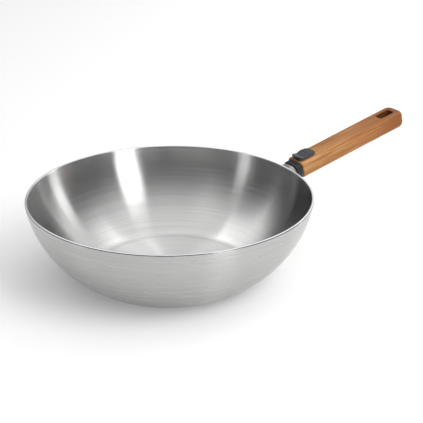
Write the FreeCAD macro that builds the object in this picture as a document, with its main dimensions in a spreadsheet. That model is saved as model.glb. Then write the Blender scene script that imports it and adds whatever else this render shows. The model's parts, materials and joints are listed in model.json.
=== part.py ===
import FreeCAD, Part
import math
import os
import Sketcher

# A round-walled wok of bonded steel and aluminium sheet, with a wooden handle that comes off.
# The bowl stands on its flat base. Its own frame: origin at the centre of the base, +Z up,
# the handle towards +X. Pieces on the handle are drawn in the handle's frame: x runs along
# the grip from its front face outwards, y across it, z up from its middle line.

DOC = FreeCAD.newDocument("wok")

# ---------------------------------------------------------------- driving sizes, mm and degrees
SIZES = {
    # bowl
    "rim_radius": 150.0,
    "bowl_height": 88.0,
    "base_radius": 82.0,
    "heel_radius": 17.0,
    "wall_radius": 120.0,
    "sheet_thickness": 2.8,
    # where the grip's front stands from the rim, and how it leans
    "handle_standoff": 16.0,
    "handle_drop": 6.1,
    "handle_tilt": 13.35,
    # welded bracket
    "saddle_thickness": 2.0,
    "saddle_margin": 1.6,
    "saddle_height": 28.4,
    "saddle_width": 46.0,
    "saddle_corner": 7.0,
    # steel neck that shields the handle from the flame
    "root_spare": 8.0,
    "neck_gap": 0.25,
    "neck_width": 24.0,
    "neck_height": 16.4,
    "neck_corner": 8.1,
    "neck_wall": 1.5,
    # tongue
    "tongue_reach": 30.0,
    "tongue_width": 13.0,
    "tongue_thickness": 3.0,
    "tongue_low": -4.2,
    "tongue_nose": 3.0,
    "tongue_shoulder": 18.0,
    "shoulder_run": 2.75,
    "window_start": 10.4,
    "window_length": 4.2,
    "window_width": 8.6,
    # grip
    "grip_length": 151.2,
    "grip_width": 27.5,
    "grip_end_width": 28.3,
    "grip_height": 19.7,
    "grip_end_corner": 9.0,
    "grip_top_round": 5.0,
    "grip_bottom_round": 7.5,
    "grip_front_round": 1.2,
    "hang_inset": 18.8,
    "hang_length": 19.6,
    "hang_width": 11.2,
    "hang_corner": 3.6,
    "hang_bevel": 0.6,
    # receiver inside the grip
    "receiver_front": 4.4,
    "receiver_back": 50.0,
    "receiver_width": 21.0,
    "receiver_low": -6.4,
    "receiver_top": 5.6,
    "receiver_corner": 1.2,
    "cover_thickness": 1.2,
    "cover_corner": 0.7,
    "pocket_clearance": 0.12,
    "tongue_clearance": 0.25,
    "front_block": 9.4,
    "back_wall": 3.6,
    "side_wall": 1.8,
    "well_end": 26.5,
    "shelf_start": 32.6,
    # collar and seal
    "collar_length": 7.5,
    "collar_width": 25.6,
    "collar_height": 17.9,
    "collar_corner": 7.5,
    "collar_bevel": 0.9,
    "groove_place": 3.4,
    "groove_width": 0.8,
    "groove_depth": 0.6,
    "spigot_length": 4.2,
    "seal_thickness": 1.0,
    "seal_width": 23.0,
    "seal_height": 15.4,
    "seal_corner": 7.6,
    # latch leaf
    "leaf_thickness": 0.5,
    "leaf_width": 8.0,
    "leaf_lift": 0.3,
    "leaf_end": 45.0,
    "nose_depth": 1.6,
    "nose_start": 11.2,
    "nose_length": 2.2,
    "ear_start": 18.2,
    "ear_length": 3.0,
    "ear_span": 16.4,
    # slider
    "slider_travel": 6.0,
    "slider_start": 0.8,
    "slider_end": 24.3,
    "slider_width": 17.0,
    "slider_gap": 0.2,
    "lip_height": 4.6,
    "lip_thickness": 3.4,
    "lip_foot": 4.6,
    "crest_run": 1.7,
    "dip_run": 8.0,
    "dip_height": 2.2,
    "hump_run": 13.4,
    "hump_height": 3.8,
    "back_height": 2.7,
    "slider_corner": 5.0,
    "slider_front_corner": 4.4,
    "slider_crest_round": 4.0,
    "slider_dip_round": 7.0,
    "slider_hump_round": 8.0,
    "slider_round": 0.5,
    # carriage under the slider
    "stem_start": 10.9,
    "stem_length": 6.4,
    "stem_width": 8.0,
    "stem_corner": 0.8,
    "slot_clearance": 0.3,
    "boss_width": 12.4,
    "boss_front_margin": 3.0,
    "boss_back_margin": 1.2,
    "carriage_front": 9.9,
    "carriage_back": 25.0,
    "carriage_low": 1.4,
    "carriage_top": 5.2,
    "leg_width": 1.5,
    "leg_low": -3.9,
    "leg_length": 6.0,
    "ramp_length": 1.2,
    "ramp_clearance": 0.2,
    "ramp_top": 0.4,
    "ramp_low": -1.5,
    # return spring and its pin
    "pin_radius": 1.0,
    "pin_start": 22.0,
    "pin_bore_clearance": 0.2,
    "pin_bore_spare": 1.0,
    "pin_height": 3.2,
    "wire_radius": 0.32,
    "coil_radius": 1.75,
    "coil_turns": 7.0,
    "seat_depth": 1.5,
    "seat_radius": 2.3,
    # bumper
    "bumper_thickness": 2.2,
    # fasteners
    "small_screw_radius": 0.9,
    "small_head_radius": 1.7,
    "small_head_height": 0.9,
    "grip_screw_radius": 1.5,
    "grip_head_radius": 2.9,
    "grip_head_height": 1.7,
    "grip_screw_top": -2.4,
    "grip_screw_first": 36.0,
    "grip_screw_second": 45.0,
    "cover_screw_length": 5.0,
    "cover_screw_side_inset": 2.6,
    "cover_screw_end_inset": 2.0,
    "collar_screw_length": 16.0,
    "collar_screw_side": 8.75,
    "collar_screw_height": -2.0,
    "slider_screw_side": 2.4,
    "slider_screw_end": 1.1,
    "rivet_radius": 1.0,
    "rivet_head_radius": 1.7,
    "rivet_head_height": 0.6,
    "rivet_depth": 2.2,
    "rivet_place": 40.5,
    "rivet_side": 2.9,
}

# ---------------------------------------------------------------- sizes that follow from those
DERIVED = {
    "handle_reach": "=rim_radius + handle_standoff",
    "handle_rise": "=bowl_height - handle_drop",
    "grip_half": "=grip_width / 2",
    "grip_end_half": "=grip_end_width / 2",
    "grip_top": "=grip_height / 2",
    "saddle_high": "=bowl_height - saddle_margin",
    "saddle_low": "=saddle_high - saddle_height",
    "saddle_half": "=saddle_width / 2",
    "saddle_sweep": "=saddle_width / base_radius * 180 / pi",
    "saddle_reach": "=rim_radius + 2 * saddle_thickness",
    "neck_root": "=handle_standoff + root_spare",
    "neck_end": "=collar_length + seal_thickness + neck_gap",
    "neck_length": "=neck_root - neck_end",
    "neck_half": "=neck_width / 2",
    "neck_top": "=neck_height / 2",
    "neck_inner_half": "=neck_half - neck_wall",
    "neck_inner_top": "=neck_top - neck_wall",
    "neck_inner_corner": "=neck_corner - neck_wall",
    "tongue_half": "=tongue_width / 2",
    "tongue_top": "=tongue_low + tongue_thickness",
    "shoulder_half": "=tongue_shoulder / 2",
    "shoulder_end": "=neck_end + shoulder_run",
    "tongue_nose_half": "=tongue_half - tongue_nose",
    "tongue_nose_start": "=tongue_reach - tongue_nose",
    "window_end": "=window_start + window_length",
    "window_half": "=window_width / 2",
    "receiver_half": "=receiver_width / 2",
    "receiver_length": "=receiver_back - receiver_front",
    "way_half": "=tongue_half + tongue_clearance",
    "way_low": "=tongue_low - tongue_clearance",
    "way_top": "=tongue_top + leaf_lift",
    "way_length": "=shelf_start - receiver_front",
    "well_half": "=receiver_half - side_wall",
    "well_height": "=receiver_top - way_low",
    "trough_end": "=receiver_back - back_wall",
    "trough_height": "=receiver_top - way_top",
    "cover_top": "=receiver_top + cover_thickness",
    "boss_height": "=grip_top - cover_top",
    "boss_half": "=boss_width / 2",
    "slot_start": "=stem_start - slot_clearance",
    "slot_end": "=stem_start + stem_length + slider_travel + slot_clearance",
    "slot_half": "=stem_width / 2 + slot_clearance",
    "boss_start": "=slot_start - boss_front_margin",
    "boss_end": "=slot_end + boss_back_margin",
    "slot_height": "=grip_top - receiver_top",
    "pocket_half": "=receiver_half + pocket_clearance",
    "pocket_low": "=receiver_low - pocket_clearance",
    "pocket_top": "=cover_top + pocket_clearance",
    "pocket_depth": "=receiver_back + pocket_clearance",
    "window_cut_start": "=boss_start - pocket_clearance",
    "window_cut_end": "=boss_end + pocket_clearance",
    "window_cut_half": "=boss_half + pocket_clearance",
    "window_cut_height": "=grip_top - receiver_top",
    "hang_centre": "=grip_length - hang_inset",
    "hang_start": "=hang_centre - hang_length / 2",
    "hang_end": "=hang_centre + hang_length / 2",
    "hang_half": "=hang_width / 2",
    "collar_half": "=collar_width / 2",
    "collar_top": "=collar_height / 2",
    "groove_start": "=groove_place + groove_width",
    "groove_half": "=collar_half - groove_depth",
    "groove_top": "=collar_top - groove_depth",
    "groove_corner": "=collar_corner - groove_depth",
    "spigot_half": "=pocket_half - pocket_clearance",
    "spigot_low": "=pocket_low + pocket_clearance",
    "spigot_top": "=pocket_top - pocket_clearance",
    "collar_through": "=collar_length + spigot_length",
    "seal_front": "=collar_length + seal_thickness",
    "seal_half": "=seal_width / 2",
    "seal_top": "=seal_height / 2",
    "leaf_low": "=tongue_top + leaf_lift",
    "leaf_top": "=leaf_low + leaf_thickness",
    "nose_tip": "=tongue_top - nose_depth",
    "nose_end": "=nose_start + nose_length",
    "ear_end": "=ear_start + ear_length",
    "ear_half": "=ear_span / 2",
    "slider_low": "=grip_top + slider_gap",
    "slider_dip_top": "=grip_top + dip_height",
    "slider_hump_top": "=grip_top + hump_height",
    "slider_back_top": "=grip_top + back_height",
    "slider_lip_top": "=grip_top + lip_height",
    "slider_lip_low": "=grip_top + lip_height - lip_thickness",
    "slider_dip": "=slider_start + dip_run",
    "slider_hump": "=slider_start + hump_run",
    "slider_foot": "=slider_start + lip_foot",
    "stem_end": "=stem_start + stem_length",
    "stem_half": "=stem_width / 2",
    "stem_height": "=slider_low - carriage_top",
    "carriage_half": "=well_half - slot_clearance",
    "carriage_thickness": "=carriage_top - carriage_low",
    "leg_inner": "=carriage_half - leg_width",
    "leg_start": "=ear_start - ramp_length - leg_length",
    "leg_end": "=ear_start - ramp_length",
    "ramp_tip": "=ear_start - ramp_clearance",
    "seat_start": "=carriage_back - seat_depth",
    "pin_bore": "=pin_radius + pin_bore_clearance",
    "pin_bore_start": "=pin_start - slider_travel - pin_bore_spare",
    "pin_bore_length": "=carriage_back - pin_bore_start",
    "pin_length": "=receiver_back - pin_start",
    "spring_length": "=trough_end - seat_start - 2 * wire_radius",
    "spring_start": "=seat_start + wire_radius",
    "coil_pitch": "=spring_length / coil_turns",
    "grip_screw_length": "=grip_top + grip_screw_top",
    "cover_screw_front": "=receiver_front + cover_screw_end_inset",
    "cover_screw_back": "=receiver_back - back_wall / 2",
    "cover_screw_side": "=receiver_half - cover_screw_side_inset",
    "slider_screw_top": "=slider_dip_top - slider_screw_end",
    "slider_screw_length": "=slider_screw_top - carriage_low",
    "slider_screw_place": "=stem_start + stem_length / 2",
    "rivet_low": "=leaf_low - rivet_depth",
    "rivet_head_top": "=leaf_top + rivet_head_height",
    "rivet_full_length": "=rivet_head_top - rivet_low",
    "front_hole_depth": "=collar_screw_length - collar_length - receiver_front",
    "cover_hole_floor": "=cover_top - cover_screw_length",
    "grip_hole_depth": "=grip_screw_top - receiver_low",
    "slot_corner": "=stem_corner + slot_clearance",
    "bumper_start": "=shelf_start - bumper_thickness",
    "bumper_top": "=tongue_top",
    "nose_heel": "=nose_start + nose_length / 2",
    "slider_crest": "=slider_start + crest_run",
    "slider_hole_depth": "=slider_screw_top - slider_low",
    "carriage_width": "=2 * carriage_half",
    "leg_height": "=carriage_low - leg_low",
    "carriage_and_stem": "=slider_low - carriage_low",
}


def make_sheet():
    """The sheet of sizes: driving numbers first, then the ones worked out from them."""
    sheet = DOC.addObject("Spreadsheet::Sheet", "Sizes")
    for row, (alias, value) in enumerate({**SIZES, **DERIVED}.items(), start=1):
        sheet.set(f"A{row}", alias)
        sheet.set(f"B{row}", str(value))
        sheet.setAlias(f"B{row}", alias)
    DOC.recompute()
    return sheet


SHEET = make_sheet()


def amount(term):
    """The number behind a term: a size's alias, the same with a minus sign, or 0."""
    if term == "0":
        return 0.0
    if term.startswith("-"):
        return -float(SHEET.get(term[1:]))
    return float(SHEET.get(term))


def formula(term):
    """The expression behind a term."""
    if term == "0":
        return "0"
    return f"-Sizes.{term[1:]}" if term.startswith("-") else f"Sizes.{term}"


# ---------------------------------------------------------------- sketches
def new_body(label):
    body = DOC.addObject("PartDesign::Body", label)
    body.Label = label
    return body


def new_sketch(body, plane, level="0"):
    """A sketch on one of the body's origin planes, moved along its normal to a level."""
    sketch = body.newObject("Sketcher::SketchObject", f"{body.Label}_sketch")
    role = f"{plane}_Plane"
    support = [item for item in body.Origin.OriginFeatures if item.Role == role][0]
    sketch.AttachmentSupport = (support, [""])
    sketch.MapMode = "FlatFace"
    sketch.setExpression("AttachmentOffset.Base.z", formula(level))
    return sketch


def tie(sketch, kind, items, term):
    """Adds a constraint whose value follows a size."""
    number = sketch.addConstraint(Sketcher.Constraint(kind, *items, amount(term)))
    sketch.setExpression(f"Constraints[{number}]", formula(term))


def tie_point(sketch, edge, end, x=None, y=None):
    """Holds a point at x and y from the sketch's origin."""
    for kind, axis, term in (("DistanceX", -2, x), ("DistanceY", -1, y)):
        if term == "0":
            sketch.addConstraint(Sketcher.Constraint("PointOnObject", edge, end, axis))
        elif term is not None:
            tie(sketch, kind, (-1, 1, edge, end), term)


def polygon(sketch, corners):
    """A closed outline of straight lines through corners given as pairs of terms."""
    points = [FreeCAD.Vector(amount(x), amount(y), 0) for x, y in corners]
    first = sketch.GeometryCount
    count = len(points)
    for index, point in enumerate(points):
        sketch.addGeometry(Part.LineSegment(point, points[(index + 1) % count]), False)
    for index in range(count):
        following = first + (index + 1) % count
        sketch.addConstraint(Sketcher.Constraint("Coincident", first + index, 2, following, 1))
    for index, (x, y) in enumerate(corners):
        tie_point(sketch, first + index, 1, x, y)


def rectangle(sketch, left, right, low, high):
    polygon(sketch, [(left, low), (right, low), (right, high), (left, high)])


def rounded_rectangle(sketch, left, right, low, high, low_corner, high_corner=None):
    """A rectangle with an arc at each corner; the two low corners share a radius, and so do
    the two high ones."""
    high_corner = high_corner or low_corner
    x = [amount(left), amount(right)]
    y = [amount(low), amount(high)]
    arcs = [
        (x[1], y[0], -1, 1, low_corner, -90),
        (x[1], y[1], -1, -1, high_corner, 0),
        (x[0], y[1], 1, -1, high_corner, 90),
        (x[0], y[0], 1, 1, low_corner, 180),
    ]
    ends = []
    for corner_x, corner_y, to_x, to_y, radius_term, start in arcs:
        radius = amount(radius_term)
        centre = FreeCAD.Vector(corner_x + to_x * radius, corner_y + to_y * radius, 0)
        circle = Part.Circle(centre, FreeCAD.Vector(0, 0, 1), radius)
        arc = Part.ArcOfCircle(circle, math.radians(start), math.radians(start + 90))
        ends.append(arc)
    first = sketch.GeometryCount
    for index, arc in enumerate(ends):
        before = ends[index - 1]
        sketch.addGeometry(Part.LineSegment(before.EndPoint, arc.StartPoint), False)
        sketch.addGeometry(arc, False)
    for index in range(4):
        line = first + 2 * index
        following = first + 2 * ((index + 1) % 4)
        direction = "Horizontal" if index % 2 == 0 else "Vertical"
        sketch.addConstraint(Sketcher.Constraint(direction, line))
        sketch.addConstraint(Sketcher.Constraint("Tangent", line, 2, line + 1, 1))
        sketch.addConstraint(Sketcher.Constraint("Tangent", line + 1, 2, following, 1))
        tie(sketch, "Radius", (line + 1,), arcs[index][4])
    tie_point(sketch, first, 1, y=low)
    tie_point(sketch, first + 2, 1, x=right)
    tie_point(sketch, first + 4, 1, y=high)
    tie_point(sketch, first + 6, 1, x=left)


def circle(sketch, x, y, radius):
    centre = FreeCAD.Vector(amount(x), amount(y), 0)
    edge = sketch.addGeometry(Part.Circle(centre, FreeCAD.Vector(0, 0, 1), amount(radius)), False)
    tie_point(sketch, edge, 3, x, y)
    tie(sketch, "Radius", (edge,), radius)


# ---------------------------------------------------------------- features
def solid_volume(body):
    DOC.recompute()
    return body.Shape.Volume


def add_pad(body, sketch, length, symmetric=False):
    """Grows the sketch along its normal, or to both sides of its plane."""
    pad = body.newObject("PartDesign::Pad", f"{body.Label}_pad")
    pad.Profile = sketch
    if symmetric:
        pad.SideType = "Symmetric"
    pad.setExpression("Length", formula(length))
    DOC.recompute()
    return pad


def add_cut(body, sketch, length):
    """Removes the sketch's shape along its normal, and makes sure that it did remove some."""
    before = solid_volume(body)
    pocket = body.newObject("PartDesign::Pocket", f"{body.Label}_cut")
    pocket.Profile = sketch
    pocket.Reversed = True
    pocket.setExpression("Length", formula(length))
    if solid_volume(body) >= before:
        raise RuntimeError(f"{pocket.Name} removes nothing")
    return pocket


def add_turn(body, sketch, sweep="full_turn"):
    """Turns the sketch about its own vertical axis."""
    turn = body.newObject("PartDesign::Revolution", f"{body.Label}_turn")
    turn.Profile = sketch
    turn.ReferenceAxis = (sketch, ["V_Axis"])
    if sweep == "full_turn":
        turn.Angle = 360
    else:
        turn.Midplane = True
        turn.setExpression("Angle", formula(sweep))
    DOC.recompute()
    return turn


def round_edges(body, radius, chosen, chamfer=False):
    """Rounds, or bevels, the edges of the body that chosen() picks."""
    DOC.recompute()
    last = body.Tip
    names = [f"Edge{i}" for i, edge in enumerate(last.Shape.Edges, start=1) if chosen(edge)]
    if not names:
        raise RuntimeError(f"{body.Label} has no edge to round")
    kind = "Chamfer" if chamfer else "Fillet"
    feature = body.newObject(f"PartDesign::{kind}", f"{body.Label}_{kind.lower()}")
    feature.Base = (last, names)
    feature.setExpression("Size" if chamfer else "Radius", formula(radius))
    DOC.recompute()
    if "Invalid" in feature.State:
        raise RuntimeError(f"{feature.Name} can't be made")
    return feature


def runs_along(edge, axis):
    """Whether a straight edge lies along the axis numbered 0, 1 or 2."""
    if edge.Curve.TypeId != "Part::GeomLine":
        return False
    return abs(abs(edge.Curve.Direction[axis]) - 1) < 1e-6


def middle(edge):
    return edge.BoundBox.Center


def near(value, term, margin=0.01):
    return abs(value - amount(term)) < margin


def onto_handle(item):
    """Moves a piece that was drawn in the handle's frame to its place on the wok."""
    tilt = FreeCAD.Rotation(FreeCAD.Vector(0, -1, 0), amount("handle_tilt"))
    item.Placement = FreeCAD.Placement(
        FreeCAD.Vector(amount("handle_reach"), 0, amount("handle_rise")), tilt)
    item.setExpression("Placement.Base.x", "Sizes.handle_reach")
    item.setExpression("Placement.Base.z", "Sizes.handle_rise")
    item.setExpression("Placement.Rotation.Angle", "Sizes.handle_tilt")


# ---------------------------------------------------------------- the bowl
def bowl_arcs():
    """Centres and angles of the heel's and the wall's arcs: the wall is tangent to the heel
    and passes through the rim."""
    heel_centre = FreeCAD.Vector(amount("base_radius"), amount("heel_radius"), 0)
    rim = FreeCAD.Vector(amount("rim_radius"), amount("bowl_height"), 0)
    apart = amount("wall_radius") - amount("heel_radius")
    reach = rim - heel_centre
    bearing = math.atan2(reach.x, reach.y)
    cosine = (reach.Length ** 2 + apart ** 2 - amount("wall_radius") ** 2) / (2 * apart * reach.Length)
    heel_angle = math.acos(cosine) - bearing
    wall_centre = heel_centre + FreeCAD.Vector(-math.sin(heel_angle), math.cos(heel_angle), 0) * apart
    return heel_centre, heel_angle, wall_centre


def wall_point_angle(level, height):
    """Angle from straight down at which the wall's arc, moved inwards by a level, is at a height."""
    wall_centre = bowl_arcs()[2]
    return math.acos((wall_centre.y - height) / (amount("wall_radius") - level))


def arc_from_below(centre, radius, start, end):
    """An arc whose angles are measured from straight down, turning outwards and up."""
    circle_ = Part.Circle(centre, FreeCAD.Vector(0, 0, 1), radius)
    return Part.ArcOfCircle(circle_, start - math.pi / 2, end - math.pi / 2)


def bowl_line(sketch, level="0", master=None, construction=False):
    """Base, heel and wall as one tangent line, moved inwards by a level. The first one in a
    sketch takes the bowl's sizes; the others share its centres. Returns its first edge."""
    heel_centre, heel_angle, wall_centre = bowl_arcs()
    inwards = amount(level)
    end_angle = wall_point_angle(inwards, amount("bowl_height"))
    start = FreeCAD.Vector(0, inwards, 0)
    corner = FreeCAD.Vector(heel_centre.x, inwards, 0)
    base = sketch.addGeometry(Part.LineSegment(start, corner), construction)
    sketch.addGeometry(
        arc_from_below(heel_centre, amount("heel_radius") - inwards, 0, heel_angle), construction)
    sketch.addGeometry(
        arc_from_below(wall_centre, amount("wall_radius") - inwards, heel_angle, end_angle), construction)
    sketch.addConstraint(Sketcher.Constraint("Horizontal", base))
    tie_point(sketch, base, 1, "0", level)
    sketch.addConstraint(Sketcher.Constraint("Tangent", base, 2, base + 1, 1))
    sketch.addConstraint(Sketcher.Constraint("Tangent", base + 1, 2, base + 2, 1))
    tie_point(sketch, base + 2, 2, y="bowl_height")
    if master is None:
        tie_point(sketch, base, 2, x="base_radius")
        tie_point(sketch, base + 2, 2, x="rim_radius")
        tie(sketch, "Radius", (base + 1,), "heel_radius")
        tie(sketch, "Radius", (base + 2,), "wall_radius")
    else:
        sketch.addConstraint(Sketcher.Constraint("Coincident", base + 1, 3, master + 1, 3))
        sketch.addConstraint(Sketcher.Constraint("Coincident", base + 2, 3, master + 2, 3))
    return base


def wok_bowl():
    """The pan, pressed from one bonded sheet: a flat base, a rounded heel and a curved wall
    that ends in a plain cut rim."""
    body = new_body("wok_bowl")
    sketch = new_sketch(body, "XZ")
    outer = bowl_line(sketch)
    inner = bowl_line(sketch, "sheet_thickness", outer)
    for edge, end in ((0, 1), (2, 2)):
        line = sketch.addGeometry(Part.LineSegment(
            sketch.getPoint(outer + edge, end), sketch.getPoint(inner + edge, end)), False)
        sketch.addConstraint(Sketcher.Constraint("Coincident", line, 1, outer + edge, end))
        sketch.addConstraint(Sketcher.Constraint("Coincident", line, 2, inner + edge, end))
    add_turn(body, sketch)
    return body


# ---------------------------------------------------------------- bracket on the bowl
SADDLE_EDGES = ("saddle_low", "saddle_high")


def wall_arc(sketch, master, grow="0", construction=False):
    """The wall's arc between the saddle's two edges, moved outwards by a size."""
    wall_centre = bowl_arcs()[2]
    radius = amount("wall_radius") + amount(grow)
    angles = [math.acos((wall_centre.y - amount(term)) / radius) for term in SADDLE_EDGES]
    arc = sketch.addGeometry(arc_from_below(wall_centre, radius, *angles), construction)
    sketch.addConstraint(Sketcher.Constraint("Coincident", arc, 3, master + 2, 3))
    for end, term in zip((1, 2), SADDLE_EDGES):
        tie_point(sketch, arc, end, y=term)
    number = sketch.addConstraint(Sketcher.Constraint("Radius", arc, radius))
    sketch.setExpression(f"Constraints[{number}]", f"Sizes.wall_radius + {formula(grow)}")
    return arc


def bracket_saddle():
    """A plate welded to the outside of the wall under the rim. Its back is the wall's shape,
    its front is a cone, and it is trimmed to a rounded outline."""
    band = new_body("saddle_band")
    sketch = new_sketch(band, "XZ")
    master = bowl_line(sketch, construction=True)
    back = wall_arc(sketch, master)
    front = wall_arc(sketch, master, "saddle_thickness", construction=True)
    sides = [((front, 1), (front, 2)), ((back, 1), (front, 1)), ((back, 2), (front, 2))]
    for start, end in sides:
        line = sketch.addGeometry(
            Part.LineSegment(sketch.getPoint(*start), sketch.getPoint(*end)), False)
        sketch.addConstraint(Sketcher.Constraint("Coincident", line, 1, *start))
        sketch.addConstraint(Sketcher.Constraint("Coincident", line, 2, *end))
    add_turn(band, sketch, "saddle_sweep")
    outline = new_body("saddle_outline")
    face = new_sketch(outline, "YZ")
    rounded_rectangle(face, "-saddle_half", "saddle_half", "saddle_low", "saddle_high",
                      "saddle_corner")
    add_pad(outline, face, "saddle_reach")
    plate = DOC.addObject("Part::Common", "bracket_saddle")
    plate.Label = "bracket_saddle"
    plate.Base = band
    plate.Tool = outline
    DOC.recompute()
    return plate


def seat_envelope():
    """All that lies inside the saddle's front, carried on up to the rim: what the bracket's
    other pieces are cut to, so that they end on the saddle. It isn't a piece of the wok."""
    body = new_body("seat_envelope")
    sketch = new_sketch(body, "XZ")
    master = bowl_line(sketch, construction=True)
    front = wall_arc(sketch, master, "saddle_thickness", construction=True)
    low, high = sketch.getPoint(front, 1), sketch.getPoint(front, 2)
    top, bottom = amount("bowl_height"), amount("saddle_low")
    lean = (high.x - low.x) / (high.y - low.y)
    corners = [low, FreeCAD.Vector(high.x + lean * (top - high.y), top, 0),
               FreeCAD.Vector(0, top, 0), FreeCAD.Vector(0, bottom, 0)]
    first = sketch.GeometryCount
    for index, corner in enumerate(corners):
        sketch.addGeometry(Part.LineSegment(corner, corners[(index + 1) % 4]), False)
    for index, direction in enumerate(("", "Horizontal", "Vertical", "Horizontal")):
        following = first + (index + 1) % 4
        sketch.addConstraint(Sketcher.Constraint("Coincident", first + index, 2, following, 1))
        if direction:
            sketch.addConstraint(Sketcher.Constraint(direction, first + index))
    sketch.addConstraint(Sketcher.Constraint("Coincident", first, 1, front, 1))
    sketch.addConstraint(Sketcher.Constraint("PointOnObject", front, 2, first))
    tie_point(sketch, first + 2, 1, "0", "bowl_height")
    add_turn(body, sketch)
    return body


def seated(label, blank, envelope):
    """The blank cut back to the saddle's outer face."""
    cut = DOC.addObject("Part::Cut", label)
    cut.Label = label
    cut.Base = blank
    cut.Tool = envelope
    DOC.recompute()
    return cut


def neck_shroud(envelope):
    """A steel tube around the tongue, between the wall and the collar."""
    blank = new_body("neck_blank")
    sketch = new_sketch(blank, "YZ", "-neck_root")
    rounded_rectangle(sketch, "-neck_half", "neck_half", "-neck_top", "neck_top", "neck_corner")
    rounded_rectangle(sketch, "-neck_inner_half", "neck_inner_half", "-neck_inner_top",
                      "neck_inner_top", "neck_inner_corner")
    add_pad(blank, sketch, "neck_length")
    onto_handle(blank)
    return seated("neck_shroud", blank, envelope)


def docking_tongue(envelope):
    """The flat bar that the handle slides onto: broad at the wall, with a window for the
    latch and a tapered end."""
    blank = new_body("tongue_blank")
    sketch = new_sketch(blank, "XY", "tongue_low")
    polygon(sketch, [
        ("-neck_root", "-shoulder_half"), ("-shoulder_end", "-shoulder_half"),
        ("-neck_end", "-tongue_half"), ("tongue_nose_start", "-tongue_half"),
        ("tongue_reach", "-tongue_nose_half"), ("tongue_reach", "tongue_nose_half"),
        ("tongue_nose_start", "tongue_half"), ("-neck_end", "tongue_half"),
        ("-shoulder_end", "shoulder_half"), ("-neck_root", "shoulder_half"),
    ])
    add_pad(blank, sketch, "tongue_thickness")
    window = new_sketch(blank, "XY", "tongue_low")
    rectangle(window, "window_start", "window_end", "-window_half", "window_half")
    add_cut(blank, window, "tongue_thickness")
    onto_handle(blank)
    return seated("docking_tongue", blank, envelope)


# ---------------------------------------------------------------- the grip and what fills it
def wooden_grip():
    """The wooden handle: a slightly flared bar, rounded all round, with a pocket for the
    receiver, a window for the slider and a slot to hang it by."""
    body = new_body("wooden_grip")
    plan = new_sketch(body, "XY", "-grip_top")
    outline = [("0", "-grip_half"), ("grip_length", "-grip_end_half"),
               ("grip_length", "grip_end_half"), ("0", "grip_half")]
    polygon(plan, outline)
    add_pad(body, plan, "grip_height")
    top, end = amount("grip_top"), amount("grip_length")

    def is_end_corner(edge):
        return runs_along(edge, 2) and near(middle(edge).x, "grip_length")

    def is_rim(level):
        return lambda edge: abs(middle(edge).z - level) < 0.01 and middle(edge).x > 0.01

    round_edges(body, "grip_end_corner", is_end_corner)
    round_edges(body, "grip_top_round", is_rim(top))
    round_edges(body, "grip_bottom_round", is_rim(-top))
    round_edges(body, "grip_front_round", lambda edge: abs(middle(edge).x) < 0.01)

    hang = new_sketch(body, "XY", "-grip_top")
    rounded_rectangle(hang, "hang_start", "hang_end", "-hang_half", "hang_half", "hang_corner")
    add_cut(body, hang, "grip_height")

    def is_hang_edge(edge):
        centre = middle(edge)
        inside = amount("hang_start") - 0.1 < centre.x < amount("hang_end") + 0.1
        return inside and abs(centre.y) < amount("hang_half") + 0.1 and abs(abs(centre.z) - top) < 0.01

    round_edges(body, "hang_bevel", is_hang_edge, chamfer=True)

    pocket = new_sketch(body, "YZ")
    rounded_rectangle(pocket, "-pocket_half", "pocket_half", "pocket_low", "pocket_top",
                      "receiver_corner", "cover_corner")
    add_cut(body, pocket, "pocket_depth")
    window = new_sketch(body, "XY", "receiver_top")
    rounded_rectangle(window, "window_cut_start", "window_cut_end", "-window_cut_half",
                      "window_cut_half", "receiver_corner")
    add_cut(body, window, "window_cut_height")
    for place in ("grip_screw_first", "grip_screw_second"):
        hole = new_sketch(body, "XY", "-grip_top")
        circle(hole, place, "0", "grip_screw_radius")
        add_cut(body, hole, "grip_top")

        def is_mouth(edge, at=place):
            centre = middle(edge)
            return abs(centre.z + top) < 0.01 and near(centre.x, at) and abs(centre.y) < 0.01

        bevel = round_edges(body, "grip_head_height", is_mouth, chamfer=True)
        bevel.ChamferType = "Two distances"
        bevel.setExpression("Size", "Sizes.grip_head_radius - Sizes.grip_screw_radius")
        bevel.setExpression("Size2", "Sizes.grip_head_height")
        DOC.recompute()
    onto_handle(body)
    return body


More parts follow.
